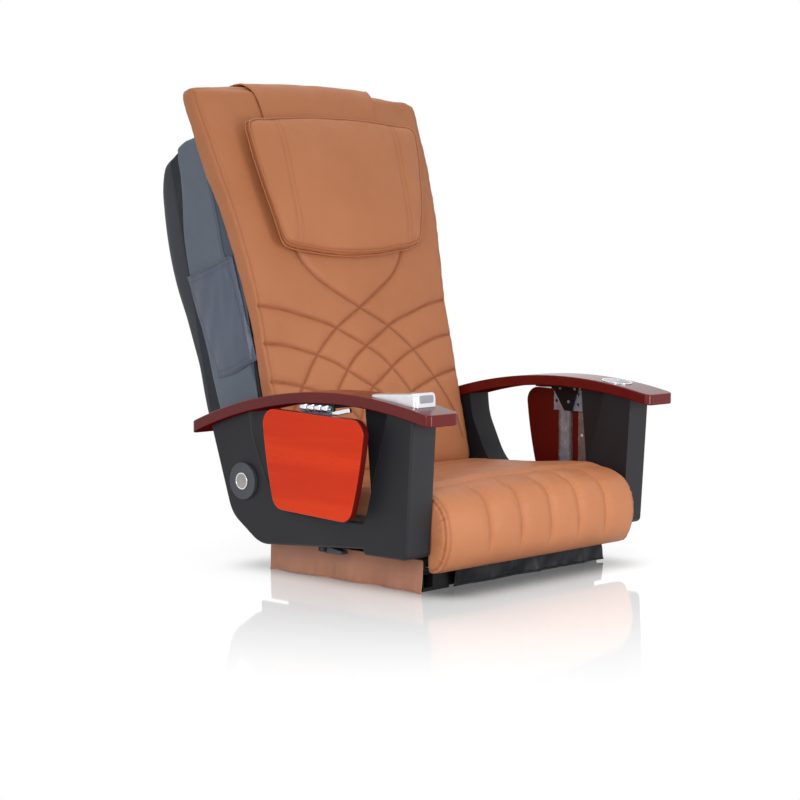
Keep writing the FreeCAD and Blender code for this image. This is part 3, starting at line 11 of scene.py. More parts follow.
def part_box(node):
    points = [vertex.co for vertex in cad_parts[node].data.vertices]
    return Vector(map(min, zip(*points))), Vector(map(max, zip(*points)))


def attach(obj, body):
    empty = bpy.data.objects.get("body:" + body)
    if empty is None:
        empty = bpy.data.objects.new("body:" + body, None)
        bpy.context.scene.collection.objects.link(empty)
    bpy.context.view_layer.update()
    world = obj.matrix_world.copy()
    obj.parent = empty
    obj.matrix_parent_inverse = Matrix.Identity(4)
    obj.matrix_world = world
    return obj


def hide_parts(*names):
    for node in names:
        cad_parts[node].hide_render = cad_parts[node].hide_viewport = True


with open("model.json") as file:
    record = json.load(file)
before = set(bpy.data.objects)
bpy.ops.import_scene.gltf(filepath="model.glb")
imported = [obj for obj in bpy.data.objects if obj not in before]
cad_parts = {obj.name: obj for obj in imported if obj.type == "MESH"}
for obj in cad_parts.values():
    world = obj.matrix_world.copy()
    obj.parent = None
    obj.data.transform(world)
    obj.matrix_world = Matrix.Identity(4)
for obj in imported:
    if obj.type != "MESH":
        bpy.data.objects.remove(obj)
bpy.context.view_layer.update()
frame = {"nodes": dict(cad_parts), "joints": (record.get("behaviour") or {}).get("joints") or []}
cadNodes = frame["nodes"]
joints = {joint["name"]: joint for joint in frame["joints"]}
scene = bpy.context.scene
print("frame loaded:", len(cadNodes), "nodes")

# the backrest's own directions: across (x), rearward (v) and up the back (u), from the recline pivot
pivot = np.array(joints["recline"]["pos_m"]) * (0, 1, 1)
upBack = np.array(joints["massage_lift"]["axis"])
upBack /= np.linalg.norm(upBack)
rearBack = np.cross(upBack, (1.0, 0.0, 0.0))


def leaned(x, v, u):
    # world points from values or arrays of x, v and u
    x, v, u = np.broadcast_arrays(x, v, u)
    return pivot + x[..., None] * np.array((1, 0, 0)) + v[..., None] * rearBack + u[..., None] * upBack


def backCoords(points):
    # x, v and u of world points
    fromPivot = points - pivot
    return points[:, 0], fromPivot @ rearBack, fromPivot @ upBack


def smoothCurve(marks):
    # cubic through marks of (place, value)
    places, values = np.array(marks, float).T
    slopes = np.gradient(values, places)

    def at(place):
        place = np.clip(np.asarray(place, float), places[0], places[-1])
        k = np.clip(np.searchsorted(places, place, side="right") - 1, 0, len(places) - 2)
        span = places[k + 1] - places[k]
        t = (place - places[k]) / span
        return ((1 + 2 * t) * (1 - t) ** 2 * values[k] + t * (1 - t) ** 2 * span * slopes[k]
                + t * t * (3 - 2 * t) * values[k + 1] + t * t * (t - 1) * span * slopes[k + 1])

    return at


def throughPoints(points, step):
    # smooth line through points of any dimension, sampled about every step
    points = np.array(points, float)
    along = np.r_[0, np.cumsum(np.linalg.norm(np.diff(points, axis=0), axis=1))]
    places = np.linspace(0, along[-1], max(2, int(round(along[-1] / step)) + 1))
    return np.stack([smoothCurve(list(zip(along, column)))(places) for column in points.T], axis=1)


def steady(value, low, high):
    # 0 below low, 1 above high, smooth between
    t = np.clip((value - low) / (high - low), 0, 1)
    return t * t * (3 - 2 * t)


def ridge(distance, width):
    # 1 on a line, fading out to both sides of it
    return np.exp(-(distance / width) ** 2)


def arch(rim):
    # quarter round from 0 at an edge to 1 inside it
    return np.sqrt(np.maximum(0, 1 - (1 - rim) ** 2))


def tidyUp(piece):
    # merges doubles and turns the faces outwards
    tidy = bmesh.new()
    tidy.from_mesh(piece.data)
    bmesh.ops.remove_doubles(tidy, verts=tidy.verts, dist=1e-6)
    bmesh.ops.recalc_face_normals(tidy, faces=tidy.faces)
    tidy.to_mesh(piece.data)
    tidy.free()


def newObject(name, points, edges, faces):
    mesh = bpy.data.meshes.new(name)
    mesh.from_pydata([tuple(map(float, point)) for point in points], edges, faces)
    piece = bpy.data.objects.new(name, mesh)
    scene.collection.objects.link(piece)
    return piece


def addPiece(name, points, faces, material, smooth=True):
    piece = newObject(name, points, [], faces)
    tidyUp(piece)
    piece.data.materials.append(material)
    piece.data.shade_smooth() if smooth else piece.data.shade_flat()
    return piece


def skinned(name, rings, look, closed=True, capped=True, smooth=True):
    # faces between rings of equal length, in one of the finishes
    count = len(rings[0])
    wrap = count if closed else count - 1
    faces = [(i * count + k, i * count + (k + 1) % count, (i + 1) * count + (k + 1) % count, (i + 1) * count + k)
             for i in range(len(rings) - 1) for k in range(wrap)]
    if capped:
        faces += [tuple(range(count))[::-1], tuple(range((len(rings) - 1) * count, len(rings) * count))]
    return addPiece(name, [point for ring in rings for point in ring], faces, finishes[look], smooth)


def settle(body, slot, *pieces):
    for piece in pieces:
        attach(piece, body)


def modify(piece, kind, **settings):
    maker = piece.modifiers.new(kind.lower(), kind)
    for key, value in settings.items():
        setattr(maker, key, value)
    return maker


def bake(piece):
    # turns the modifiers' result into the piece's plain mesh
    graph = bpy.context.evaluated_depsgraph_get()
    mesh = bpy.data.meshes.new_from_object(piece.evaluated_get(graph))
    piece.modifiers.clear()
    old = piece.data
    piece.data = mesh
    bpy.data.meshes.remove(old)


def roundOff(piece):
    modify(piece, "SUBSURF", levels=1, render_levels=1)
    bake(piece)
    piece.data.shade_smooth()


def meshPoints(piece, kind="co"):
    flat = np.zeros(len(piece.data.vertices) * 3)
    piece.data.vertices.foreach_get(kind, flat)
    return flat.reshape(-1, 3)


def setPoints(piece, points):
    piece.data.vertices.foreach_set("co", points.ravel())
    piece.data.update()


def setGroove(piece, values):
    # how far each point lies in a seam, a channel or an edge, or in the side panels' band in front of their seam; the
    # finishes darken these points, painting shade into the seams and channels
    layer = piece.data.attributes.new("groove", "FLOAT", "POINT")
    layer.data.foreach_set("value", np.asarray(np.clip(values, 0, 1), np.float32))


def ripples(points, size, seed):
    # gentle unevenness, from -1 to 1
    shift = Vector((seed * 7.3, seed * 1.9, -seed * 3.7))
    return np.array([noise.noise(Vector(point) / size + shift) for point in points])


def seamDistance(points, lines):
    # distance of flat points to the nearest of some sampled lines
    spots = np.concatenate(lines)
    tree = kdtree.KDTree(len(spots))
    for k, spot in enumerate(spots):
        tree.insert((*spot, 0), k)
    tree.balance()
    return np.array([tree.find((*point, 0))[2] for point in points])


def fillCushion(piece, made, sewn):
    # swells a cushion like a stuffed cover; sewn(points) gives 1 where its seams hold it
    modify(piece, "REMESH", mode="VOXEL", voxel_size=made["voxel"])
    bake(piece)
    rest = meshPoints(piece)
    group = piece.vertex_groups.new(name="sewn")
    for k, weight in enumerate(sewn(rest)):
        if weight > 0.01:
            group.add([k], float(min(1.0, weight)), "REPLACE")
    cloth = modify(piece, "CLOTH")
    cloth.settings.use_pressure = True
    cloth.settings.uniform_pressure_force = stuffing["pressure"]
    cloth.settings.effector_weights.gravity = 0
    cloth.settings.vertex_group_mass = "sewn"
    cloth.collision_settings.use_collision = False
    cloth.point_cache.frame_start = 1
    cloth.point_cache.frame_end = stuffing["steps"]
    for step in range(1, stuffing["steps"] + 1):
        scene.frame_set(step)
    move = meshPoints(piece.evaluated_get(bpy.context.evaluated_depsgraph_get())) - rest
    size = np.linalg.norm(move, axis=1, keepdims=True)
    move *= np.minimum(1, made["cap"] / np.maximum(size, 1e-9))
    piece.modifiers.clear()
    piece.vertex_groups.clear()
    setPoints(piece, rest + move)
    scene.frame_set(1)
    modify(piece, "SMOOTH", iterations=3)
    roundOff(piece)


# pressure under the covers and frames of the simulation
stuffing = {"pressure": 3.0, "steps": 20}


def newGroup(name, family, inputs, outputs, kind="Float"):
    # inputs are numbers with a default, or the kind of another socket
    tree = bpy.data.node_groups.new(name, family + "NodeTree")
    for label, value in inputs.items():
        isNumber = not isinstance(value, str)
        socket = tree.interface.new_socket(label, in_out="INPUT",
                                           socket_type="NodeSocket" + ("Float" if isNumber else value))
        if isNumber:
            socket.default_value = value
    for label in outputs:
        tree.interface.new_socket(label, in_out="OUTPUT", socket_type="NodeSocket" + kind)
    return tree, tree.nodes.new("NodeGroupInput").outputs, tree.nodes.new("NodeGroupOutput")


def feed(tree, node, **sockets):
    # sockets are values or other nodes' outputs; underscores stand for spaces, i2 for the third input
    for key, value in sockets.items():
        socket = node.inputs[int(key[1:]) if key[1:].isdigit() else key.replace("_", " ")]
        if isinstance(value, bpy.types.NodeSocket):
            tree.links.new(value, socket)
        else:
            socket.default_value = value
    return node


def addNode(tree, kind, settings=None, **sockets):
    # a kind that doesn't name its family is a shader node
    node = tree.nodes.new(kind if kind.startswith(("Geometry", "Function")) else "ShaderNode" + kind)
    for key, value in (settings or {}).items():
        setattr(node, key, value)
    return feed(tree, node, **sockets)


def maths(tree, operation, *inputs):
    return addNode(tree, "Math", {"operation": operation}, **{f"i{k}": one for k, one in enumerate(inputs)}).outputs[0]


def ranged(tree, value, fromLow, fromHigh, toLow=0.0, toHigh=1.0):
    return addNode(tree, "MapRange", {"interpolation_type": "SMOOTHSTEP"}, Value=value, From_Min=fromLow,
                   From_Max=fromHigh, To_Min=toLow, To_Max=toHigh).outputs[0]


def speckle(tree, place, scale, detail, output="Fac", **more):
    return addNode(tree, "TexNoise", Vector=place, Scale=scale, Detail=detail, **more).outputs[output]


def objectPlace(tree):
    return addNode(tree, "TexCoord").outputs["Object"]


def stretched(tree, place, scale):
    return addNode(tree, "Mapping", Vector=place, Scale=scale).outputs[0]


def blended(tree, share, first, second, how="MIX"):
    return addNode(tree, "Mix", {"data_type": "RGBA", "blend_type": how}, i0=share, i6=first, i7=second).outputs[2]


def mixed(tree, share, first, second):
    return addNode(tree, "MixShader", Fac=share, i1=first.outputs[0], i2=second.outputs[0])


def seenBy(tree, *rays):
    # 1 for a ray of one of these kinds
    paths = addNode(tree, "LightPath").outputs
    seen = paths[f"Is {rays[0]} Ray"]
    for ray in rays[1:]:
        seen = maths(tree, "MAXIMUM", seen, paths[f"Is {ray} Ray"])
    return seen


# shader pieces that several finishes share
def leatherGroup():
    tree, given, result = newGroup("leatherSkin", "Shader", {"Pebble": 700.0, "Grain Depth": 1.0, "Wrinkle": 1.0},
                                   ("Tone", "Roughness", "Height"))
    place = objectPlace(tree)
    wander = speckle(tree, place, 60.0, 2.0, "Color")
    bent = addNode(tree, "VectorMath", {"operation": "MULTIPLY_ADD"}, i0=wander, i1=(0.004, 0.004, 0.004), i2=place)
    cells = addNode(tree, "TexVoronoi", {"feature": "DISTANCE_TO_EDGE"}, Vector=bent.outputs[0],
                    Scale=given["Pebble"]).outputs["Distance"]
    creases = speckle(tree, place, 38.0, 5.0, Roughness=0.6, Distortion=0.8)
    folds = speckle(tree, place, 9.0, 3.0)
    patches = speckle(tree, place, 5.0, 4.0, Roughness=0.55)
    flecks = speckle(tree, place, 420.0, 2.0)
    grain = maths(tree, "MULTIPLY", ranged(tree, cells, 0.0, 0.28), given["Grain Depth"])
    wrinkle, soft = [maths(tree, "MULTIPLY", relief, given["Wrinkle"]) for relief in (creases, folds)]
    height = maths(tree, "MULTIPLY_ADD", wrinkle, 1.6, grain)
    feed(tree, result, Tone=maths(tree, "MULTIPLY_ADD", patches, 0.75, maths(tree, "MULTIPLY", flecks, 0.25)),
         Roughness=ranged(tree, creases, 0.3, 0.7, 0.42, 0.56), Height=maths(tree, "MULTIPLY_ADD", soft, 3.0, height))
    return tree


def plasticGroup():
    tree, given, result = newGroup("mouldedSkin", "Shader", {"Texture Size": 900.0, "Rub": 0.5},
                                   ("Tone", "Roughness", "Height"))
    place = objectPlace(tree)
    fine = speckle(tree, place, given["Texture Size"], 3.0)
    broad = speckle(tree, place, 7.0, 4.0)
    rub = maths(tree, "MULTIPLY", ranged(tree, broad, 0.45, 0.7), given["Rub"])
    feed(tree, result, Tone=maths(tree, "MULTIPLY_ADD", fine, 0.3, maths(tree, "MULTIPLY", broad, 0.7)),
         Roughness=ranged(tree, rub, 0.0, 1.0, 0.5, 0.36), Height=fine)
    return tree


def woodGroup():
    tree, given, result = newGroup("stainedWood", "Shader", {"Figure": 1.0}, ("Tone", "Roughness"))
    place = objectPlace(tree)
    long = stretched(tree, place, (60.0, 3.0, 60.0))
    fibre = speckle(tree, long, 2.2, 6.0, Roughness=0.62, Distortion=0.5)
    rings = addNode(tree, "TexWave", {"wave_type": "BANDS", "bands_direction": "X"}, Vector=long,
                    Scale=0.22, Distortion=6.0, Detail=3.0, Detail_Scale=1.4).outputs["Fac"]
    pores = speckle(tree, stretched(tree, place, (900.0, 45.0, 900.0)), 1.0, 2.0)
    figure = maths(tree, "MULTIPLY_ADD", fibre, 0.6, maths(tree, "MULTIPLY", rings, 0.4))
    tone = maths(tree, "SUBTRACT", figure, maths(tree, "MULTIPLY", ranged(tree, pores, 0.56, 0.72), 0.35))
    feed(tree, result, Tone=maths(tree, "MULTIPLY", tone, given["Figure"]),
         Roughness=ranged(tree, fibre, 0.3, 0.7, 0.16, 0.24))
    return tree


def metalGroup():
    tree, given, result = newGroup("workedMetal", "Shader", {"Brush": 1.0, "Scuff": 0.5},
                                   ("Tone", "Roughness", "Height"))
    place = objectPlace(tree)
    brush = speckle(tree, stretched(tree, place, (900.0, 900.0, 40.0)), 1.0, 4.0)
    spots = speckle(tree, place, 55.0, 5.0, Roughness=0.65)
    scuffs = maths(tree, "MULTIPLY", ranged(tree, spots, 0.5, 0.7), given["Scuff"])
    feed(tree, result, Tone=spots, Roughness=ranged(tree, scuffs, 0.0, 1.0, 0.24, 0.45),
         Height=maths(tree, "MULTIPLY", brush, given["Brush"]))
    return tree


groups = {"leather": leatherGroup(), "plastic": plasticGroup(), "wood": woodGroup(), "metal": metalGroup()}


def finish(name, group, light, dark, bump=0.0, skin=(), groove=0.0, deepTone=(0.5, 0.45, 0.45), **principled):
    # one shared group with its own inputs in their order, two tones, and the Principled sockets that stay plain
    material = bpy.data.materials.new(name)
    material.use_nodes = True
    tree = material.node_tree
    shader = tree.nodes["Principled BSDF"]
    shared = addNode(tree, "Group", {"node_tree": groups[group]}, **{f"i{k}": value for k, value in enumerate(skin)})
    tones = addNode(tree, "MapRange", Value=shared.outputs["Tone"], From_Min=0.3, From_Max=0.7)
    colour = blended(tree, tones.outputs[0], (*dark, 1), (*light, 1))
    # painted shade: the groove attribute multiplies the colour by deepTone, darkening seams and channels
    if groove:
        grooveDarkening = addNode(tree, "Attribute", {"attribute_name": "groove"}).outputs["Fac"]
        colour = blended(tree, maths(tree, "MULTIPLY", grooveDarkening, groove), colour, (*deepTone, 1), "MULTIPLY")
    if "Roughness" not in principled:
        principled["Roughness"] = shared.outputs["Roughness"]
    feed(tree, shader, Base_Color=colour, **principled)
    if bump:
        relief = addNode(tree, "Bump", Distance=bump, Strength=1.0, Height=shared.outputs["Height"])
        feed(tree, shader, Normal=relief.outputs[0])
    return material


# the finishes with a groove strength and deepTone paint shade into the seams and channels that setGroove marks
finishes = {
    "tan": finish("tanLeather", "leather", (0.50, 0.192, 0.084), (0.43, 0.158, 0.066), 0.0002, (620.0, 0.5, 0.5), 0.8,
                  (0.5, 0.33, 0.24), Specular_IOR_Level=0.28),
    "skirt": finish("skirtLeather", "leather", (0.56, 0.265, 0.17), (0.47, 0.21, 0.13), 0.0003, (620.0, 0.4, 1.0),
                    Specular_IOR_Level=0.35),
    "blackVinyl": finish("blackVinyl", "leather", (0.009, 0.010, 0.013), (0.005, 0.006, 0.008), 0.0003,
                         (520.0, 0.3, 1.0), 0.4, Roughness=0.42, Specular_IOR_Level=0.22),
    "sideVinyl": finish("slateVinyl", "leather", (0.137, 0.165, 0.206), (0.112, 0.136, 0.173), 0.0002,
                        (700.0, 0.5, 0.4), 0.8, (0.25, 0.27, 0.32), Specular_IOR_Level=0.3),
    "pocketVinyl": finish("pocketVinyl", "leather", (0.096, 0.116, 0.166), (0.068, 0.082, 0.122), 0.00022,
                          (700.0, 0.3, 1.0), 0.5, Roughness=0.36, Specular_IOR_Level=0.5),
    "shell": finish("mouldedShell", "plastic", (0.015, 0.015, 0.019), (0.0105, 0.0105, 0.0135), 0.00006,
                    (900.0, 0.35), Specular_IOR_Level=0.28),
    "cover": finish("rearCoverSkin", "plastic", (0.042, 0.046, 0.058), (0.03, 0.033, 0.042), 0.00008, (900.0, 0.2),
                    Specular_IOR_Level=0.3),
    "cap": finish("capPlastic", "plastic", (0.062, 0.068, 0.08), (0.046, 0.05, 0.06), 0.00005, Specular_IOR_Level=0.4),
    "darkPart": finish("motorCasing", "plastic", (0.05, 0.05, 0.055), (0.03, 0.03, 0.034), 0.0001),
    "button": finish("buttonPlastic", "plastic", (0.3, 0.31, 0.33), (0.22, 0.23, 0.25), 0.00004),
    "roller": finish("rollerRubber", "plastic", (0.03, 0.03, 0.03), (0.018, 0.018, 0.018), 0.0002, (500.0,)),
    "arm": finish("mahoganyLacquer", "wood", (0.2, 0.011, 0.01), (0.12, 0.006, 0.006), skin=(0.45,), Roughness=0.25,
                  Coat_Weight=0.3, Coat_Roughness=0.04, Specular_IOR_Level=0.12),
    "tray": finish("cherryLacquer", "wood", (0.70, 0.042, 0.004), (0.60, 0.029, 0.003), Roughness=0.3,
                   Coat_Weight=0.12, Coat_Roughness=0.08, Specular_IOR_Level=0.1),
    "plywood": finish("panPlywood", "wood", (0.5, 0.36, 0.22), (0.4, 0.27, 0.15), Roughness=0.6),
    "blackSteel": finish("blackSteel", "metal", (0.009, 0.009, 0.01), (0.006, 0.006, 0.007), 0.00005, Roughness=0.5,
                         Metallic=0.0, Specular_IOR_Level=0.2),
    "greySteel": finish("bareSteel", "metal", (0.42, 0.44, 0.47), (0.3, 0.31, 0.34), 0.00004, Metallic=1.0),
    "zinc": finish("zincPlate", "metal", (0.42, 0.52, 0.66), (0.22, 0.3, 0.41), 0.00004, Metallic=0.5),
    "bronze": finish("bronzeRail", "metal", (0.30, 0.26, 0.25), (0.17, 0.145, 0.14), 0.00004, Metallic=0.45),
    "chrome": finish("brightChrome", "metal", (0.85, 0.87, 0.9), (0.78, 0.8, 0.84), Roughness=0.08, Metallic=1.0),
    "satin": finish("satinDisc", "metal", (0.4, 0.385, 0.365), (0.3, 0.285, 0.27), Roughness=0.35, Metallic=0.85),
    "silver": finish("silverPaint", "metal", (0.8, 0.81, 0.84), (0.68, 0.69, 0.72), Roughness=0.2, Metallic=0.35,
                     Coat_Weight=0.6, Coat_Roughness=0.05),
    "display": finish("displayGlass", "plastic", (0.34, 0.345, 0.36), (0.27, 0.275, 0.29), Roughness=0.2,
                      Coat_Weight=0.3, Coat_Roughness=0.05),
    "edgeVinyl": finish("edgeVinyl", "leather", (0.022, 0.026, 0.034), (0.014, 0.017, 0.022), 0.0002,
                        (700.0, 0.5, 0.4), Specular_IOR_Level=0.2),
    "thread": finish("tanThread", "leather", (0.5, 0.22, 0.12), (0.4, 0.16, 0.08), Roughness=0.7),
    "darkThread": finish("darkThread", "leather", (0.05, 0.055, 0.065), (0.03, 0.033, 0.04), Roughness=0.7),
}


def paintTrayShade(material, depth, inside):
    # the trays' outer face keeps its colour; painted shade darkens their edges and the face towards the seat
    tree = material.node_tree
    shader = tree.nodes["Principled BSDF"]
    colour = shader.inputs["Base Color"].links[0].from_socket
    outward = maths(tree, "ABSOLUTE", addNode(tree, "SeparateXYZ", Vector=objectPlace(tree)).outputs["X"])
    shadedFaces = ranged(tree, outward, depth - 0.0016, depth - 0.0008)
    feed(tree, shader, Base_Color=blended(tree, shadedFaces, (*inside, 1), colour))


def makeMattUnderside(material):
    # the boards are lacquered above and matt below
    tree = material.node_tree
    shader = tree.nodes["Principled BSDF"]
    normal = addNode(tree, "SeparateXYZ", Vector=addNode(tree, "TexCoord").outputs["Normal"])
    above = ranged(tree, normal.outputs["Z"], -0.6, -0.2)
    for label in ("Coat Weight", "Specular IOR Level"):
        tree.links.new(maths(tree, "MULTIPLY", above, shader.inputs[label].default_value), shader.inputs[label])


# the dark red given here is painted shade for the trays' edges and the faces towards the seat
paintTrayShade(finishes["tray"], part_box("tray_board_left")[1][0], (0.115, 0.006, 0.004))
makeMattUnderside(finishes["arm"])
print("finishes made:", len(finishes))

# which nodes wear each finish, without the word for their side; all others are tan leather
nodeFinish = {
    "blackSteel": ("base_frame", "foot_plates", "slide_rails", "seat_frame", "back_frame", "massage_carriage",
                   "tray_bracket"),
    "greySteel": ("slide_rod", "pivot_pins", "recline_rod", "guide_rods", "lift_screw", "roller_arm"),
    "darkPart": ("control_box", "slide_motor", "recline_motor", "lift_motor", "kneading_motor"),
    "button": ("button_recline_back", "button_recline_forward", "button_seat_slide", "button_massage"),
    "plywood": ("seat_pan",), "edgeVinyl": ("back_shell",), "cover": ("back_cover",), "blackVinyl": ("front_flap",),
    "pocketVinyl": ("side_pocket",), "silver": ("console_housing", "cup_holder"), "arm": ("arm_board",),
    "shell": ("arm_shell", "arm_liner"), "cap": ("pivot_cap", "release_lever"), "satin": ("pivot_disc",),
    "chrome": ("tray_hinge_pin",), "zinc": ("tray_carrier",), "tray": ("tray_board",), "bronze": ("tray_tracks",),
    "roller": ("roller",),
}
for name, piece in cadNodes.items():
    kind = name.removesuffix("_left").removesuffix("_right")
    look = next((look for look, kinds in nodeFinish.items() if kind in kinds), "tan")
    piece.data.materials.clear()
    piece.data.materials.append(finishes[look])

# stage
view = {"place": (-3.08356, -2.79680, 0.67636), "look": (0.7254, 0.6836, -0.0802), "lens": 91.03, "sensor": 36.0}
lamps = {  # place, aim, size, watts, spread in degrees
    "keyLeft": ((-2.35, -1.55, 0.9), (0, 0.0, 0.15), 1.3, 7.8, 80),
    "fillFront": ((0.25, -1.8, 0.5), (0, -0.1, 0.2), 0.75, 3.8, 90),
    "topSoft": ((0.0, 0.8, 3.2), (0, -0.1, 0.2), 2.0, 29, 180),
}
# paper, glow and share keep the open floor as white as the room; mirror and fade are distances from the chair,
# and paintedShadow is a painted shadow, the soft dark patch round the foot of the base
stage = {"room": 0.44, "half": 30.0, "paper": 0.84, "glow": 1.5, "share": 0.5, "fade": (0.8, 1.7),
         "mirror": (0.3, 1.5), "polish": 0.42, "paintedShadow": {"half": 0.225, "reach": 0.22, "dark": 0.75}}
white = (1, 1, 1, 1)


def aimed(thing, place, direction):
    scene.collection.objects.link(thing)
    thing.location = place
    thing.rotation_euler = Vector(direction).to_track_quat("-Z", "Y").to_euler()


def makeCamera():
    camera = bpy.data.objects.new("camera", bpy.data.cameras.new("camera"))
    aimed(camera, view["place"], view["look"])
    camera.data.lens = view["lens"]
    camera.data.sensor_width = view["sensor"]
    camera.data.clip_end = 100
    scene.camera = camera


def makeLights():
    for name, (place, aim, size, watts, spread) in lamps.items():
        lamp = bpy.data.objects.new(name, bpy.data.lights.new(name, "AREA"))
        lamp.data.shape = "DISK"
        lamp.data.size = size
        lamp.data.energy = watts
        lamp.data.spread = math.radians(spread)
        aimed(lamp, place, Vector(aim) - Vector(place))
    world = bpy.data.worlds.new("studio")
    world.use_nodes = True
    tree = world.node_tree
    room = feed(tree, tree.nodes["Background"], Color=white, Strength=stage["room"])
    backdrop = addNode(tree, "Background", Color=white, Strength=1.0)
    shown = mixed(tree, seenBy(tree, "Camera", "Glossy"), room, backdrop)
    feed(tree, tree.nodes["World Output"], Surface=shown.outputs[0])
    scene.world = world


def makeFloor():
    half, paintedShadow = stage["half"], stage["paintedShadow"]
    material = bpy.data.materials.new("studioFloor")
    material.use_nodes = True
    tree = material.node_tree
    seen = seenBy(tree, "Camera", "Glossy", "Transmission")
    place = objectPlace(tree)
    spot = addNode(tree, "SeparateXYZ", Vector=place).outputs
    # painted shadow: near the base's footprint the paper's colour and the glow are darkened
    beyond = [maths(tree, "SUBTRACT", maths(tree, "ABSOLUTE", spot[axis]), paintedShadow["half"]) for axis in ("X", "Y")]
    beyond = [maths(tree, "MAXIMUM", gap, 0.0) for gap in beyond]
    away = maths(tree, "SQRT", maths(tree, "ADD", *[maths(tree, "MULTIPLY", gap, gap) for gap in beyond]))
    near = maths(tree, "POWER", ranged(tree, away, 0.0, paintedShadow["reach"], 1.0, 0.0), 2.0)
    shade, shadowedGlow = [ranged(tree, near, 0.0, 1.0, stage[key], stage[key] * (1 - paintedShadow["dark"]))
                     for key in ("paper", "glow")]
    grey = addNode(tree, "CombineColor", Red=shade, Green=shade, Blue=shade).outputs[0]
    paper = feed(tree, tree.nodes["Principled BSDF"], Base_Color=grey, Roughness=0.6, Specular_IOR_Level=0.0)
    lit = mixed(tree, maths(tree, "MULTIPLY", seen, stage["share"]), paper, addNode(tree, "Emission", Strength=shadowedGlow))
    reach = addNode(tree, "VectorMath", {"operation": "LENGTH"}, i0=place).outputs["Value"]
    distant = maths(tree, "MULTIPLY", ranged(tree, reach, *stage["fade"]), seen)
    openFloor = mixed(tree, distant, lit, addNode(tree, "Emission", Strength=1.0))
    sheen = maths(tree, "MULTIPLY", ranged(tree, reach, *stage["mirror"], stage["polish"], 0.0),
                  seenBy(tree, "Camera"))
    polished = mixed(tree, sheen, openFloor, addNode(tree, "BsdfGlossy", Color=white, Roughness=0.05))
    feed(tree, tree.nodes["Material Output"], Surface=polished.outputs[0])
    corners = [(-half, -half, 0), (half, -half, 0), (half, half, 0), (-half, half, 0)]
    addPiece("studioFloor", corners, [(0, 1, 2, 3)], material, smooth=False)


makeCamera()
makeLights()
makeFloor()
scene.view_settings.view_transform = "Standard"
print("stage set")

# back pad: quilted front, boxed sides
backPad = {
    "bottom": -0.020, "top": 0.819, "edge": 0.011, "crown": 0.010, "topBow": 0.012, "topHalf": 0.337,
    "corners": (0.026, 0.008), "voxel": 0.0065, "cap": 0.005,
    "half": ((-0.02, 0.283), (0.19, 0.287), (0.36, 0.289), (0.47, 0.300), (0.571, 0.3135), (0.623, 0.321),
             (0.676, 0.3265), (0.732, 0.331), (0.784, 0.3355), (0.819, 0.338)),
    "thick": ((-0.02, 0.032), (0.05, 0.040), (0.33, 0.040), (0.42, 0.044), (0.50, 0.0465), (0.58, 0.0465),
              (0.65, 0.050), (0.76, 0.044), (0.819, 0.040)),
    "front": ((-0.02, -0.038), (0.1, -0.040), (0.36, -0.040), (0.471, -0.0405), (0.571, -0.0345), (0.623, -0.0275),
              (0.676, -0.0215), (0.732, -0.013), (0.784, -0.004), (0.819, -0.001)),
    "quiltDepth": 0.0040, "quiltWidth": 0.0026, "valleyDepth": 0.0034, "valleyWidth": 0.0105,
    "seam": {"inset": 0.0075, "width": 0.0022, "topInset": 0.009, "topWidth": 0.0024, "depth": 0.0016},
}
# sewn lines on the sitter's left half, as (x, u); each has a mirrored twin
quiltLines = (
    ((0.160, 0.462), (0.152, 0.446), (0.124, 0.412), (0.066, 0.373), (0.0, 0.336), (-0.088, 0.287), (-0.147, 0.238),
     (-0.199, 0.177), (-0.226, 0.140), (-0.252, 0.095), (-0.268, 0.04)),
    ((0.283, 0.349), (0.219, 0.338), (0.160, 0.321), (0.096, 0.301), (0.048, 0.277), (0.0, 0.252), (-0.046, 0.223),
     (-0.078, 0.192), (-0.100, 0.168), (-0.13, 0.12), (-0.15, 0.06)),
    ((0.283, 0.270), (0.224, 0.262), (0.188, 0.252), (0.147, 0.239), (0.104, 0.222), (0.067, 0.202), (0.031, 0.181),
     (0.0, 0.163), (-0.03, 0.135), (-0.055, 0.09)),
    ((0.283, 0.190), (0.242, 0.184), (0.204, 0.175), (0.166, 0.163), (0.127, 0.150), (0.08, 0.122), (0.04, 0.08)),
)
padHalf, padFront, padThick = [smoothCurve(backPad[key]) for key in ("half", "front", "thick")]


def padRise(x, u):
    # the top edge bows up between its corners
    return backPad["topBow"] * np.clip(1 - (x / backPad["topHalf"]) ** 2, 0, 1) * steady(u, 0.6, backPad["top"])


def cornerTuck(u, radius):
    # how far the rounded top corner has drawn the side in
    over = max(0.0, u - (backPad["top"] - radius))
    return radius - math.sqrt(max(0.0, radius ** 2 - over ** 2))


def padRing(u, shrink=0.0):
    # one level of the pad: bowed front, boxed sides and flat back
    half, front = float(padHalf(u)) - shrink, float(padFront(u)) + shrink * 0.8
    back, edge = float(padFront(u)) + float(padThick(u)) - shrink * 0.8, backPad["edge"]
    flat, chamfer = half - edge, edge * 0.29
    ring = [(x, front - backPad["crown"] * (1 - (x / flat) ** 2)) for x in [flat * (k / 20 - 1) for k in range(41)]]
    sides = [(half - chamfer, front + chamfer), (half, front + edge), (half - 0.002, (front + back) / 2),
             (half, back - edge), (half - chamfer, back - chamfer)]
    ring += sides + [(flat * (1 - k / 20), back) for k in range(41)] + [(-x, v) for x, v in reversed(sides)]
    left, right = [(half - cornerTuck(u, radius)) / half for radius in backPad["corners"]]
    return [leaned(x * (left if x > 0 else right), v, u + float(padRise(x, u))) for x, v in ring]


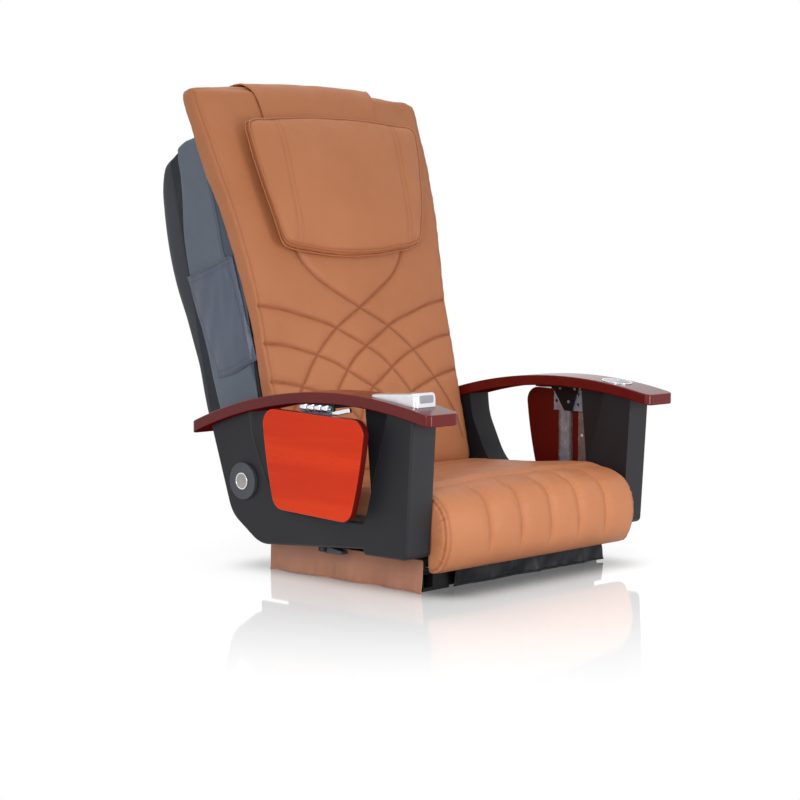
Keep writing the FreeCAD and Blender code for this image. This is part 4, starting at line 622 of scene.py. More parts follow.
def makeBackPad():
    bottom, top = backPad["bottom"], backPad["top"]
    levels = list(np.linspace(bottom + 0.012, top - 0.03, 56)) + list(np.linspace(top - 0.026, top - 0.012, 5))
    rings = [padRing(bottom, 0.011), padRing(bottom + 0.003, 0.004)] + [padRing(u) for u in levels]
    rings += [padRing(top - 0.004, 0.0035), padRing(top, 0.011)]
    piece = skinned("backPad", rings, "tan")
    lines = [throughPoints(line, 0.0015) for line in quiltLines]
    lines += [line * (-1, 1) for line in lines]

    def sewn(points):
        x, v, u = backCoords(points)
        near = seamDistance(np.stack([x, u], axis=1), lines)
        held = np.where(v < padFront(u) + 0.012, ridge(near, 0.006), 0)
        edge = ridge(padHalf(u) - np.abs(x) - 0.004, 0.007)
        return np.maximum(held, np.where(v > padFront(u) + padThick(u) - 0.013, 1.0, edge))

    fillCushion(piece, backPad, sewn)
    points = meshPoints(piece)
    x, v, u = backCoords(points)
    near = seamDistance(np.stack([x, u], axis=1), lines)
    face = steady(padFront(u) + 0.02 - v, 0.0, 0.012)
    fromSide, fromTop = padHalf(u) - np.abs(x), backPad["top"] + padRise(x, u) - u
    inside = steady(fromSide, 0.001, 0.008)
    groove, valley = [ridge(near, backPad[key]) * face * inside for key in ("quiltWidth", "valleyWidth")]
    edge = backPad["seam"]
    seam = ridge(fromSide - edge["inset"], edge["width"]) * face
    topSeam = ridge(fromTop - edge["topInset"], edge["topWidth"]) * face
    push = groove * backPad["quiltDepth"] + valley * backPad["valleyDepth"] + np.maximum(seam, topSeam) * edge["depth"]
    puckers = ripples(points, 0.018, 3) * ridge(fromSide, 0.03) * 0.0011 + ripples(points, 0.075, 5) * 0.0016
    points += rearBack[None] * (push + puckers * face)[:, None]
    side = (1 - face) * steady(padThick(u) * 0.9 - (v - padFront(u)), 0, 0.01)
    points[:, 0] += np.sign(x) * side * ripples(points, 0.03, 8) * 0.0016
    setPoints(piece, points)
    # painted shade in the quilt lines and the edge seams
    setGroove(piece, groove + 0.6 * seam + 0.4 * topSeam)
    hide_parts("back_pad")
    settle("backrest", "tan_cushion", piece)
    return piece


# seat cushion: flat top panel, channelled front roll, tucked lip
seat = {
    "half": 0.295, "edge": 0.014, "crown": 0.009, "bow": 0.010, "voxel": 0.0065, "cap": 0.005,
    "channels": (-0.18, -0.09, 0.0, 0.09, 0.18), "channelShift": 0.009, "channelDepth": 0.0032,
    "channelWidth": 0.0034, "softWidth": 0.0145, "softDepth": 0.0052, "roll": (-0.228, 0.118),
    "crease": {"y": -0.214, "width": 0.0028, "depth": 0.0012, "dipWidth": 0.014, "dipDepth": 0.0015},
    "rim": {"inset": 0.011, "width": 0.0026, "depth": 0.0016},
    "gusset": {"inset": 0.0075, "width": 0.0022, "depth": 0.0022},
}
# side outline as (y, z), from the rear foot over the top and round the front roll to the lip
seatOutline = ((0.155, 0.1052), (0.155, 0.150), (0.1535, 0.170), (0.147, 0.1805), (0.13, 0.1845), (0.06, 0.187),
               (-0.02, 0.191), (-0.10, 0.195), (-0.16, 0.1985), (-0.204, 0.1985), (-0.237, 0.193), (-0.264, 0.181),
               (-0.281, 0.160), (-0.2895, 0.132), (-0.289, 0.095), (-0.279, 0.064), (-0.265, 0.047),
               (-0.251, 0.0415), (-0.2395, 0.0435), (-0.2335, 0.054), (-0.232, 0.08), (-0.232, 0.1052))


def seatRing(x, shrink=0.0):
    line = throughPoints(seatOutline, 0.008)
    share = 1 - (x / seat["half"]) ** 2
    tangent = np.gradient(line, axis=0)
    outward = np.stack([-tangent[:, 1], tangent[:, 0]], axis=1)
    outward /= -np.linalg.norm(outward, axis=1, keepdims=True)
    upper = steady(line[:, 1], 0.125, 0.18) * seat["crown"] * share
    nose = steady(-line[:, 0], 0.20, 0.27) * steady(line[:, 1], 0.045, 0.09) * seat["bow"] * share
    line = line - outward * shrink * steady(line[:, 1], 0.047, 0.06)[:, None]
    line = line + np.stack([-nose, upper], axis=1)
    foot = np.linspace(line[-1], line[0], 40)[1:-1]
    return [(x, y, z) for y, z in np.concatenate([line, foot])]


def makeSeat():
    half, edge = seat["half"], seat["edge"]
    ends = [(half - edge + edge * math.sin(a), edge * (1 - math.cos(a)))
            for a in [math.radians(angle) for angle in (90, 60, 30, 0)]]
    stations = [(-x, s) for x, s in ends] + [(x, 0.0) for x in np.linspace(edge * 1.6 - half, half - edge * 1.6, 40)]
    stations += [(x, s) for x, s in reversed(ends)]
    piece = skinned("seatCushion", [seatRing(x, shrink) for x, shrink in stations], "tan")
    channels = np.array(seat["channels"]) + seat["channelShift"]
    crease, rim, gusset = seat["crease"], seat["rim"], seat["gusset"]

    def channelNear(points):
        return np.min(np.abs(points[:, :1] - channels[None]), axis=1)

    def front(points):
        # the channels fade out on the top panel and towards the lip
        return steady(-points[:, 1], 0.205, 0.255) * steady(points[:, 2], 0.055, 0.105)

    def sewn(points):
        y, z = points[:, 1], points[:, 2]
        held = ridge(channelNear(points), 0.007) * front(points)
        across = ridge(y - crease["y"], 0.006) * (z > 0.19)
        return np.max([held, across * 0.4, 1.0 * (z < 0.112) * (y > -0.235), 1.0 * (z < 0.048)], axis=0)

    fillCushion(piece, seat, sewn)
    points = meshPoints(piece)
    x, y, z = points.T.copy()
    near, fade = channelNear(points), front(points)
    deep, soft = [ridge(near, seat[key]) * fade for key in ("channelWidth", "softWidth")]
    top = steady(z, 0.188, 0.195)
    line = ridge(y - crease["y"], crease["width"]) * top * steady(-x, -0.2, 0.1)
    dip = ridge(y - crease["y"], crease["dipWidth"]) * top
    upper = np.maximum(steady(z, 0.112, 0.12), steady(-y, 0.236, 0.244))
    piped = ridge(half - np.abs(x) - rim["inset"], rim["width"]) * upper
    push = deep * seat["channelDepth"] + soft * seat["softDepth"] + line * crease["depth"] + dip * crease["dipDepth"]
    # end panels: a second seam beside the piped one, with puckers between them
    inset = seamDistance(points[:, 1:], [throughPoints(seatOutline, 0.003)])
    sewnEnd = ridge(inset - gusset["inset"], gusset["width"]) * steady(np.abs(x), half - 0.007, half - 0.003) * upper
    around = np.arctan2(z - seat["roll"][1], -(y - seat["roll"][0]))
    pinched = np.array([noise.noise(Vector((a * 9.0, 4.0, 0.0))) for a in around])
    band = ridge(half - np.abs(x), 0.012) * steady(-y, 0.19, 0.23) * ridge(inset - gusset["inset"] * 1.5, 0.012)
    push = push + piped * rim["depth"] + sewnEnd * gusset["depth"] + band * pinched * 0.004
    gathers = ridge(near, 0.03) * fade * ripples(points * (1.0, 3.0, 3.0), 0.024, 2) * 0.0012
    uneven = (ripples(points, 0.09, 6) * 0.002 + gathers) * steady(z, 0.108, 0.13)
    points -= meshPoints(piece, "normal") * (push + uneven)[:, None]
    setPoints(piece, points)
    # painted shade in the channels, the crease and the seams
    setGroove(piece, 0.38 * deep + 0.25 * line + 0.6 * piped + 0.8 * sewnEnd)
    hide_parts("seat_cushion")
    settle("seat", "tan_cushion", piece)


def surfaceOf(piece):
    # for laying seams, cloth and screws on a finished piece
    return BVHTree.FromPolygons([Vector(point) for point in meshPoints(piece)],
                                [tuple(face.vertices) for face in piece.data.polygons])


def landOn(surface, start, direction, lift):
    # the spot where a ray from start meets the surface, lifted off it, with the surface's facing
    place, facing = surface.ray_cast(Vector(start), Vector(direction).normalized())[:2]
    if place is None:
        return None
    facing = -facing if facing.dot(Vector(direction)) > 0 else facing
    return np.array(place + facing * lift), np.array(facing)


def seamOn(surface, starts, direction, lift=0.0004):
    # a run for repeated: the landed points and their facings
    landed = [landOn(surface, start, direction, lift) for start in starts]
    return [np.array(column) for column in zip(*[found for found in landed if found is not None])]


def clothPiece(name, rows, thick, look):
    # open grid of points made a sheet of even thickness; prints its greatest width and length, and its area
    across, along = [np.linalg.norm(np.diff(rows, axis=k), axis=2).sum(axis=k).max() for k in (1, 0)]
    one, two = rows[1:, :-1] - rows[:-1, :-1], rows[:-1, 1:] - rows[:-1, :-1]
    area = np.linalg.norm(np.cross(one, two), axis=2).sum()
    print(name, "cloth", [round(float(size), 4) for size in (across, along, area)])
    piece = skinned(name, rows, look, closed=False, capped=False)
    modify(piece, "SOLIDIFY", thickness=thick, offset=0.0)
    roundOff(piece)
    return piece


def tubeAlong(name, path, radius, look, closed=False):
    # thin round bead along a path of points
    path = np.array(path, float)
    ahead = np.roll(path, -1, 0) - np.roll(path, 1, 0) if closed else np.gradient(path, axis=0)
    turns = [2 * math.pi * k / 8 for k in range(8)]
    rings, across = [], None
    for point, tangent in zip(path, ahead):
        tangent = tangent / max(np.linalg.norm(tangent), 1e-9)
        if across is None:
            across = np.cross(tangent, (0.3, 0.2, 0.9))
        across = across - tangent * (across @ tangent)
        across /= np.linalg.norm(across)
        other = np.cross(tangent, across)
        rings.append([point + radius * (math.cos(a) * across + math.sin(a) * other) for a in turns])
    if closed:
        rings.append(rings[0])
    return skinned(name, rings, look, capped=not closed)


def lathe(name, place, axis, profile, look, steps=48):
    # turned piece: profile is (along the axis, radius)
    axis = np.array(axis, float)
    side = np.cross(axis, (0.0, 0.0, 1.0) if abs(axis[2]) < 0.9 else (1.0, 0.0, 0.0))
    side /= np.linalg.norm(side)
    other = np.cross(axis, side)
    turns = [2 * math.pi * k / steps for k in range(steps)]
    rings = [[np.array(place) + axis * along + radius * (math.cos(a) * side + math.sin(a) * other) for a in turns]
             for along, radius in profile]
    return skinned(name, rings, look, capped=False)


def treeFor(name, **numbers):
    # geometry tree with a path to follow, named numbers and a finish
    inputs = {"Path": "Geometry", **{key.replace("_", " "): value for key, value in numbers.items()},
              "Finish": "Material"}
    tree, given, result = newGroup(name, "Geometry", inputs, ("Result",), "Geometry")
    tree.is_modifier = True
    return tree, given, result


def joinUp(tree, given, result, points, tangent, shape):
    # turns each copy along the path and outwards, then makes all of them one plain mesh
    facing = addNode(tree, "GeometryNodeInputNamedAttribute", {"data_type": "FLOAT_VECTOR"}, Name="facing")
    outward = addNode(tree, "FunctionNodeAlignRotationToVector", {"axis": "Z"}, Vector=facing.outputs["Attribute"])
    along = addNode(tree, "FunctionNodeAlignRotationToVector", {"axis": "X", "pivot_axis": "Z"},
                    Rotation=outward.outputs["Rotation"], Vector=tangent)
    copies = addNode(tree, "GeometryNodeInstanceOnPoints", Points=points, Instance=shape,
                     Rotation=along.outputs["Rotation"])
    real = addNode(tree, "GeometryNodeRealizeInstances", Geometry=copies.outputs["Instances"])
    coated = addNode(tree, "GeometryNodeSetMaterial", Geometry=real.outputs["Geometry"], Material=given["Finish"])
    feed(tree, result, Result=coated.outputs["Geometry"])
    return tree


def stitchTree():
    tree, given, result = treeFor("stitchRow", Spacing=0.0055, Stitch_Length=0.0038, Thread_Width=0.0009)
    curve = addNode(tree, "GeometryNodeMeshToCurve", Mesh=given["Path"])
    spots = addNode(tree, "GeometryNodeCurveToPoints", {"mode": "LENGTH"}, Curve=curve.outputs["Curve"],
                    Length=given["Spacing"])
    bead = addNode(tree, "GeometryNodeMeshUVSphere", Segments=6, Rings=4, Radius=0.5)
    sizes = addNode(tree, "CombineXYZ", X=given["Stitch Length"], Y=given["Thread Width"], Z=given["Thread Width"])
    shaped = addNode(tree, "GeometryNodeTransform", Geometry=bead.outputs["Mesh"], Scale=sizes.outputs[0])
    return joinUp(tree, given, result, spots.outputs["Points"], spots.outputs["Tangent"], shaped.outputs["Geometry"])


def boltTree():
    tree, given, result = treeFor("boltHeads", Head_Radius=0.003, Head_Height=0.002)
    spots = addNode(tree, "GeometryNodeMeshToPoints", Mesh=given["Path"])
    both = addNode(tree, "GeometryNodeJoinGeometry")
    # a round washer and the six-sided head on it
    for sides, wide, narrow, high in ((14, 1.0, 0.92, 0.35), (6, 0.66, 0.6, 1.0)):
        sizes = [maths(tree, "MULTIPLY", given[source], share)
                 for source, share in (("Head Radius", wide), ("Head Radius", narrow), ("Head Height", high))]
        cone = addNode(tree, "GeometryNodeMeshCone", Vertices=sides, Radius_Bottom=sizes[0], Radius_Top=sizes[1],
                       Depth=sizes[2])
        feed(tree, both, Geometry=cone.outputs["Mesh"])
    level = addNode(tree, "CombineXYZ", X=1.0).outputs[0]
    return joinUp(tree, given, result, spots.outputs["Points"], level, both.outputs["Geometry"])


trees = {"stitch": stitchTree(), "bolt": boltTree()}


def repeated(name, tree, runs, look, body, slot=None, **numbers):
    # runs are (points, facings) pairs; stitches follow each run, bolts sit on its points
    edges, start = [], 0
    for run in runs:
        edges += [(start + k, start + k + 1) for k in range(len(run[0]) - 1)] if tree == "stitch" else []
        start += len(run[0])
    piece = newObject(name, np.concatenate([run[0] for run in runs]), edges, [])
    facing = piece.data.attributes.new("facing", "FLOAT_VECTOR", "POINT")
    facing.data.foreach_set("vector", np.concatenate([run[1] for run in runs]).astype(np.float32).ravel())
    maker = modify(piece, "NODES", node_group=trees[tree])
    values = {"Finish": finishes[look], **{key.replace("_", " "): value for key, value in numbers.items()}}
    for item in trees[tree].interface.items_tree:
        if item.in_out == "INPUT" and item.name in values:
            maker[item.identifier] = values[item.name]
    bake(piece)
    if finishes[look].name not in [held.name for held in piece.data.materials if held]:
        piece.data.materials.append(finishes[look])
    piece.data.shade_smooth() if tree == "stitch" else piece.data.shade_flat()
    settle(body, slot, piece)
    return piece


def makePadSeams(pad):
    # topstitching inside the pad's edge seam
    surface, levels = surfaceOf(pad), np.linspace(0.06, 0.785, 150)
    runs = [seamOn(surface, leaned(side * (padHalf(levels) - 0.0145), -0.2, levels), rearBack) for side in (1, -1)]
    repeated("padStitches", "stitch", runs, "thread", "backrest", "tan_cushion")


# strap sheet: holds the pillow over the top of the pad
strap = {
    "lowU": 0.700, "turnU": 0.806, "rearLowU": 0.762, "gap": 0.0024, "thick": 0.0022, "ruffle": 0.0012,
    "stack": (0.0025, 0.0075), "hem": 0.0021,
    "half": ((0.0, 0.170), (0.3, 0.175), (0.45, 0.185), (0.56, 0.195), (0.7, 0.210), (0.8, 0.2125), (1.0, 0.2125)),
    "flat": (0.425, 0.222), "area": 0.0835,
}


def makeStrap(pad):
    surface, turnU = surfaceOf(pad), strap["turnU"]
    turnV = float(padFront(turnU)) + float(padThick(turnU)) / 2
    # starts as (v, u) and directions of the rays, up the front, over the top and down the rear
    aims = [((-0.2, u), (1.0, 0.0)) for u in np.linspace(strap["lowU"], turnU, 16)]
    for angle in np.linspace(0, math.pi, 22)[1:-1]:
        away = (-math.cos(angle), math.sin(angle))
        aims.append(((turnV + 0.2 * away[0], turnU + 0.2 * away[1]), (-away[0], -away[1])))
    aims += [((0.3, u), (-1.0, 0.0)) for u in np.linspace(turnU, strap["rearLowU"], 7)]
    halfAt, shares = smoothCurve(strap["half"]), np.linspace(-1, 1, 61)
    rows = []
    for k, ((v, u), (alongV, alongU)) in enumerate(aims):
        half = float(halfAt(k / (len(aims) - 1)))
        direction = rearBack * alongV + upBack * alongU
        rows.append([landOn(surface, leaned(half * share, v, u), direction, strap["gap"])[0] for share in shares])
    rows = np.array(rows)
    for _ in range(6):  # cloth bridges the small hollows under it
        rows[1:-1] = rows[1:-1] * 0.5 + (rows[:-2] + rows[2:]) * 0.25
        rows[:, 1:-1] = rows[:, 1:-1] * 0.5 + (rows[:, :-2] + rows[:, 2:]) * 0.25
    lift = (ripples(rows.reshape(-1, 3), 0.045, 21).reshape(rows.shape[:2]) + 0.9) * strap["ruffle"]
    # folded lining: the strap stands proud of the pad's top, more so at the sitter's left
    overTop = ridge(np.linspace(0, 1, len(rows)) - 0.58, 0.2)
    low, high = strap["stack"]
    lift = lift + overTop[:, None] * (low + (high - low) * (shares[None] + 1) / 2)
    away = (rows - leaned(0, turnV, turnU - 0.03)) * (0, 1, 1)
    rows = rows + away / np.linalg.norm(away, axis=2, keepdims=True) * lift[..., None]
    piece = clothPiece("pillowStrap", rows, strap["thick"], "tan")
    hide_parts("pillow_flap")
    hems = [tubeAlong("strapHem" + word, rows[:, column], strap["hem"], "tan")
            for word, column in (("Right", 1), ("Left", -2))]
    settle("backrest", "tan_upholstery", piece, *hems)


# skirts over the sides of the base, and the loose flap under the front of the seat
skirt = {
    "x": 0.2755, "low": 0.0015, "high": 0.0632, "half": 0.212, "thick": 0.0018, "hem": 0.0016, "fold": 0.006,
    "flare": 0.010, "flat": (0.452, 0.0655), "area": 0.0278,
}
flap = {
    "y": -0.2205, "left": 0.266, "right": -0.194, "low": 0.0045, "high": 0.0412, "thick": 0.0018, "hem": 0.0023,
    "fold": 0.0095, "flat": (0.485, 0.0425), "area": 0.0187,
}


def hangingRows(made, length, seed, count=97, levels=15):
    # outward offset and height of each point of a strip that is held along its top edge
    along = np.linspace(0, 1, count)
    rows = []
    for drop in [k / (levels - 1) for k in range(levels)]:
        swing, fine = [np.array([noise.noise(Vector((a * length / size, start, grow * drop))) for a in along])
                       for size, start, grow in ((0.045, seed, 0.35), (0.016, seed + 4.0, 1.3))]
        offset = (swing * 1.5 * drop + fine * 0.35 * (0.2 + drop)) * made["fold"]
        height = made["high"] + (made["low"] - made["high"]) * drop
        rows.append((along, offset, height + swing * 0.0016 * drop))
    return rows


def makeSkirts():
    half, low, high = skirt["half"], skirt["low"], skirt["high"]
    for side, word in ((1, "left"), (-1, "right")):
        rows = []
        for along, offset, height in hangingRows(skirt, 2 * half, 3.0 + side):
            y = (along * 2 - 1) * half
            drop = (high - height) / (high - low)
            flare = skirt["flare"] * drop ** 1.6 * ridge(y + half, 0.045) * (side < 0)
            y = y + (0.018 * (1 - along) if side > 0 else 0)
            rows.append(np.stack([side * (skirt["x"] + 0.003 * drop + offset + flare), y - flare * 0.6, height],
                                 axis=1))
        piece = clothPiece("skirt" + word.capitalize(), np.array(rows), skirt["thick"], "skirt")
        hem = tubeAlong("skirtHem" + word.capitalize(), rows[-1], skirt["hem"], "skirt")
        settle("base", "tan_upholstery", piece, hem)
        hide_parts("skirt_" + word)


def makeFrontFlap():
    left, right, low, high, y = [flap[key] for key in ("left", "right", "low", "high", "y")]
    rows = [np.stack([right + along * (left - right), y - offset, height], axis=1)
            for along, offset, height in hangingRows(flap, left - right, 9.0)]
    piece = clothPiece("frontFlap", np.array(rows), flap["thick"], "blackVinyl")
    hem = tubeAlong("frontFlapHem", rows[-1] + (0, 0, 0.001), flap["hem"], "blackVinyl")
    # stitched twice along its right edge and once along the hem
    lines = [[(x, y - 0.1, z) for z in np.linspace(low + 0.004, high - 0.003, 12)]
             for x in (right + 0.007, right + 0.013)]
    lines.append([(x, y - 0.1, low + 0.0075) for x in np.linspace(right + 0.015, left - 0.005, 90)])
    surface = surfaceOf(piece)
    stitches = repeated("frontFlapStitches", "stitch", [seamOn(surface, line, (0, 1, 0)) for line in lines],
                        "darkThread", "base")
    settle("base", "black_vinyl", piece, hem)
    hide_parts("front_flap")


# stitched vinyl panels on both sides of the backrest
sidePanel = {
    "x": 0.2781, "puff": 0.0046, "edge": 0.012, "seamDeep": 0.0034, "seamWide": 0.004, "low": 0.095, "high": 0.7315,
    "front": ((0.095, 0.016), (0.203, 0.013), (0.285, 0.006), (0.368, 0.003), (0.4495, 0.0095), (0.4975, 0.016),
              (0.555, 0.027), (0.603, 0.034), (0.66, 0.040), (0.7315, 0.050)),
    "rear": ((0.095, 0.118), (0.173, 0.134), (0.227, 0.140), (0.2915, 0.144), (0.358, 0.153), (0.424, 0.160),
             (0.484, 0.161), (0.5525, 0.1575), (0.614, 0.145), (0.667, 0.139), (0.71, 0.136), (0.7245, 0.128),
             (0.7315, 0.104)),
    "seam": ((0.17, 0.0135), (0.22, 0.0145), (0.285, 0.016), (0.34, 0.0205), (0.40, 0.030), (0.456, 0.0385),
             (0.472, 0.043), (0.536, 0.0455), (0.568, 0.047), (0.603, 0.048), (0.66, 0.050), (0.7315, 0.058)),
}


def makeSidePanels():
    frontAt, rearAt, seamAt = [smoothCurve(sidePanel[key]) for key in ("front", "rear", "seam")]
    low, high, edge, flatX = [sidePanel[key] for key in ("low", "high", "edge", "x")]
    shares = np.concatenate([np.linspace(0, 0.16, 12), np.linspace(0.17, 0.83, 46), np.linspace(0.84, 1, 12)])
    levels = np.concatenate([low + edge * (1 - np.cos(np.linspace(0, math.pi / 2, 8))),
                             np.linspace(low + edge * 1.05, high - edge * 1.05, 130),
                             high - edge * (1 - np.cos(np.linspace(math.pi / 2, 0, 8)))])
    panels = {}
    for side, word in ((1, "Left"), (-1, "Right")):
        rings = []
        for u in levels:
            front, rear = float(frontAt(u)), float(rearAt(u))
            v = front + (rear - front) * shares
            inset = np.minimum(np.minimum(v - front, rear - v), min(u - low, high - u))
            rise = arch(np.clip(inset / edge, 0, 1))
            sunk = float(steady(u, 0.38, 0.43)) * sidePanel["seamDeep"]
            puff = sidePanel["puff"] * (0.16 + 0.84 * rise)
            puff = puff - sunk * ridge(np.abs(v - float(seamAt(u))), sidePanel["seamWide"]) * rise
            puff = puff + ripples(leaned(flatX + puff, v, u), 0.055, 14) * 0.0008 * rise
            rings.append(np.concatenate([leaned(side * (flatX + puff), v, u), leaned(side * flatX, v, u)[::-1]]))
        piece = skinned("sidePanel" + word, rings, "sideVinyl")
        x, v, u = backCoords(meshPoints(piece))
        # the band in front of the seam and the seam line are darkened through the groove attribute
        strip = 0.75 * steady(seamAt(u) - v, -0.001, 0.001) + ridge(np.abs(v - seamAt(u)), 0.0022)
        setGroove(piece, np.clip(strip, 0, 1) * steady(u, 0.17, 0.23))
        settle("backrest", "side_vinyl", piece)
        panels[side] = surfaceOf(piece)
        starts = [leaned(side * 0.4, float(seamAt(u)) + 0.0055, u) for u in np.linspace(0.41, 0.67, 70)]
        repeated("sidePanelStitches" + word, "stitch", [seamOn(panels[side], starts, (-side, 0, 0))], "darkThread",
                 "backrest", "side_vinyl")
    return panels


# pocket on the sitter's right panel, with an open mouth; edges as (share, v, u)
pocket = {
    "bottom": ((0.0, -0.0005, 0.243), (0.5, 0.062, 0.2295), (1.0, 0.116, 0.228)),
    "top": ((0.0, 0.0165, 0.464), (0.45, 0.0905, 0.4525), (0.78, 0.140, 0.449), (1.0, 0.167, 0.4515)),
    "bulge": 0.0095, "thick": 0.0016, "hem": 0.0019, "piping": 0.0016, "flat": (0.168, 0.235), "area": 0.033,
}


def makePocket(surface):
    shares, rises = np.linspace(0, 1, 49), np.linspace(0, 1, 57)
    (lowV, lowU), (highV, highU) = [[smoothCurve([(mark[0], mark[k]) for mark in pocket[key]])(shares) for k in (1, 2)]
                                    for key in ("bottom", "top")]
    rows = []
    for t in rises:
        v, u = (1 - t) * lowV + t * highV, (1 - t) * lowU + t * highU
        body = arch(np.minimum(np.minimum(shares, 1 - shares) / 0.07, t / 0.05).clip(0, 1))
        belly = np.sin(math.pi * shares) ** 0.8 * (0.35 + 0.65 * t ** 0.7)
        out = 0.0012 + body * (0.002 + (pocket["bulge"] - 0.003) * belly)
        row = []
        for vk, uk, outward in zip(v, u, out):
            landed = landOn(surface, leaned(-0.4, vk, uk), (1, 0, 0), 0.0)
            base = landed[0] if landed is not None else leaned(-sidePanel["x"], vk, uk)
            row.append(np.array([base[0] - outward, *leaned(0, vk, uk)[1:]]))
        rows.append(row)
    rows = np.array(rows)
    creases = ripples(rows.reshape(-1, 3) * (1, 2.2, 0.6), 0.05, 31).reshape(rows.shape[:2]) * 0.0026
    rows[..., 0] -= (creases + 0.0006) * np.minimum(1, rises * 6)[:, None]
    piece = clothPiece("sidePocket", rows, pocket["thick"], "pocketVinyl")
    hem = tubeAlong("pocketHem", rows[-1] - (0.0004, 0, 0), pocket["hem"], "pocketVinyl")
    edge = np.concatenate([rows[::-1, 0], rows[0, 1:-1], rows[:, -1]]) - (0.0006, 0, 0)
    piping = tubeAlong("pocketPiping", edge, pocket["piping"], "pocketVinyl")
    surface = surfaceOf(piece)
    runs = [seamOn(surface, line - (0.05, 0, 0), (1, 0, 0))
            for line in (rows[-4, 2:-2], rows[2:-1, 3], rows[2:-1, -4], rows[3, 2:-2])]
    stitches = repeated("pocketStitches", "stitch", runs, "darkThread", "backrest", "side_vinyl")
    settle("backrest", "side_vinyl", piece, hem, piping)
    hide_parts("side_pocket")


# rear cover: smooth bulged shell; profile as (u, v)
cover = {
    "rim": 0.1666, "half": 0.2755, "wall": 0.003, "turn": 0.026, "tuck": 0.022, "plan": (0.29, 0.33),
    "profile": ((0.1165, 0.169), (0.13, 0.177), (0.16, 0.186), (0.200, 0.1905), (0.269, 0.1935), (0.31, 0.203),
                (0.370, 0.2165), (0.441, 0.2365), (0.503, 0.2445), (0.551, 0.2448), (0.615, 0.2385), (0.654, 0.2305),
                (0.685, 0.2135), (0.704, 0.194), (0.7125, 0.176), (0.7145, 0.169)),
}


def makeBackCover():
    depthAt, turns = smoothCurve(cover["profile"]), np.linspace(0, math.pi, 81)
    bottom, top = cover["profile"][0][0], cover["profile"][-1][0]
    rows = []
    for u in np.concatenate([bottom + 0.03 * (1 - np.cos(np.linspace(0, math.pi / 2, 9))),
                             np.linspace(bottom + 0.036, top - 0.034, 60),
                             top - 0.028 * (1 - np.cos(np.linspace(math.pi / 2, 0, 10)))]):
        end = max(0.0, 1 - min(top - u, u - bottom) / cover["turn"])
        wide = cover["half"] - cover["tuck"] * (1 - math.sqrt(max(0.0, 1 - end ** 2)))
        x = wide * np.sign(np.cos(turns)) * np.abs(np.cos(turns)) ** cover["plan"][0]
        v = cover["rim"] + (float(depthAt(u)) - cover["rim"]) * np.sin(turns) ** cover["plan"][1]
        rows.append(leaned(x, v, u))
    piece = skinned("rearCover", rows, "cover", closed=False, capped=False)
    middle = piece.data.polygons[len(piece.data.polygons) // 2]
    if np.dot(np.array(middle.normal), rearBack) < 0:
        piece.data.flip_normals()
    modify(piece, "SOLIDIFY", thickness=cover["wall"], offset=-1.0)
    roundOff(piece)
    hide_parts("back_cover")
    settle("backrest", "shell_plastic", piece)
    starts = [leaned(x, 0.5, u) for u in (0.19, 0.46, 0.66) for x in (-0.2, 0.2)]
    repeated("coverScrews", "bolt", [seamOn(surfaceOf(piece), starts, -rearBack, 0.0006)], "cap", "backrest",
             Head_Radius=0.0055, Head_Height=0.0022)


# control pod: a wedge on the board with a small grey display on its front end
console = {
    "x": (-0.363, -0.301), "y": (-0.271, -0.150), "frontTop": 0.3892, "rearTop": 0.3822,
    "corners": (0.009, 0.009, 0.0175, 0.0175), "dome": 0.0007, "display": ((-0.350, -0.313), (0.370, 0.3845)),
    # inset from the plan and share of the height, from the board up to the top
    "rings": ((0, 0), (0, 0.45), (0.0006, 0.7), (0.0019, 0.9), (0.0038, 0.985), (0.006, 1.0), (0.012, 1.0),
              (0.02, 1.0)),
}
armArc = {"topY": -0.070, "topZ": 0.381, "radius": 1.070}


def armHeight(y):
    return armArc["topZ"] - armArc["radius"] + math.sqrt(armArc["radius"] ** 2 - (y - armArc["topY"]) ** 2)


def roundedPlan(x, y, corners, steps=8):
    # rectangle with one radius per corner, counted from the low corner round
    (lowX, highX), (lowY, highY) = x, y
    spots = []
    for (cx, cy, turn), radius in zip(((lowX, lowY, 180), (highX, lowY, 270), (highX, highY, 0), (lowX, highY, 90)),
                                      corners):
        mx = cx + radius if cx == lowX else cx - radius
        my = cy + radius if cy == lowY else cy - radius
        for a in [math.radians(turn + 90 * k / steps) for k in range(steps + 1)]:
            spots.append((mx + radius * math.cos(a), my + radius * math.sin(a)))
    return np.array(spots)


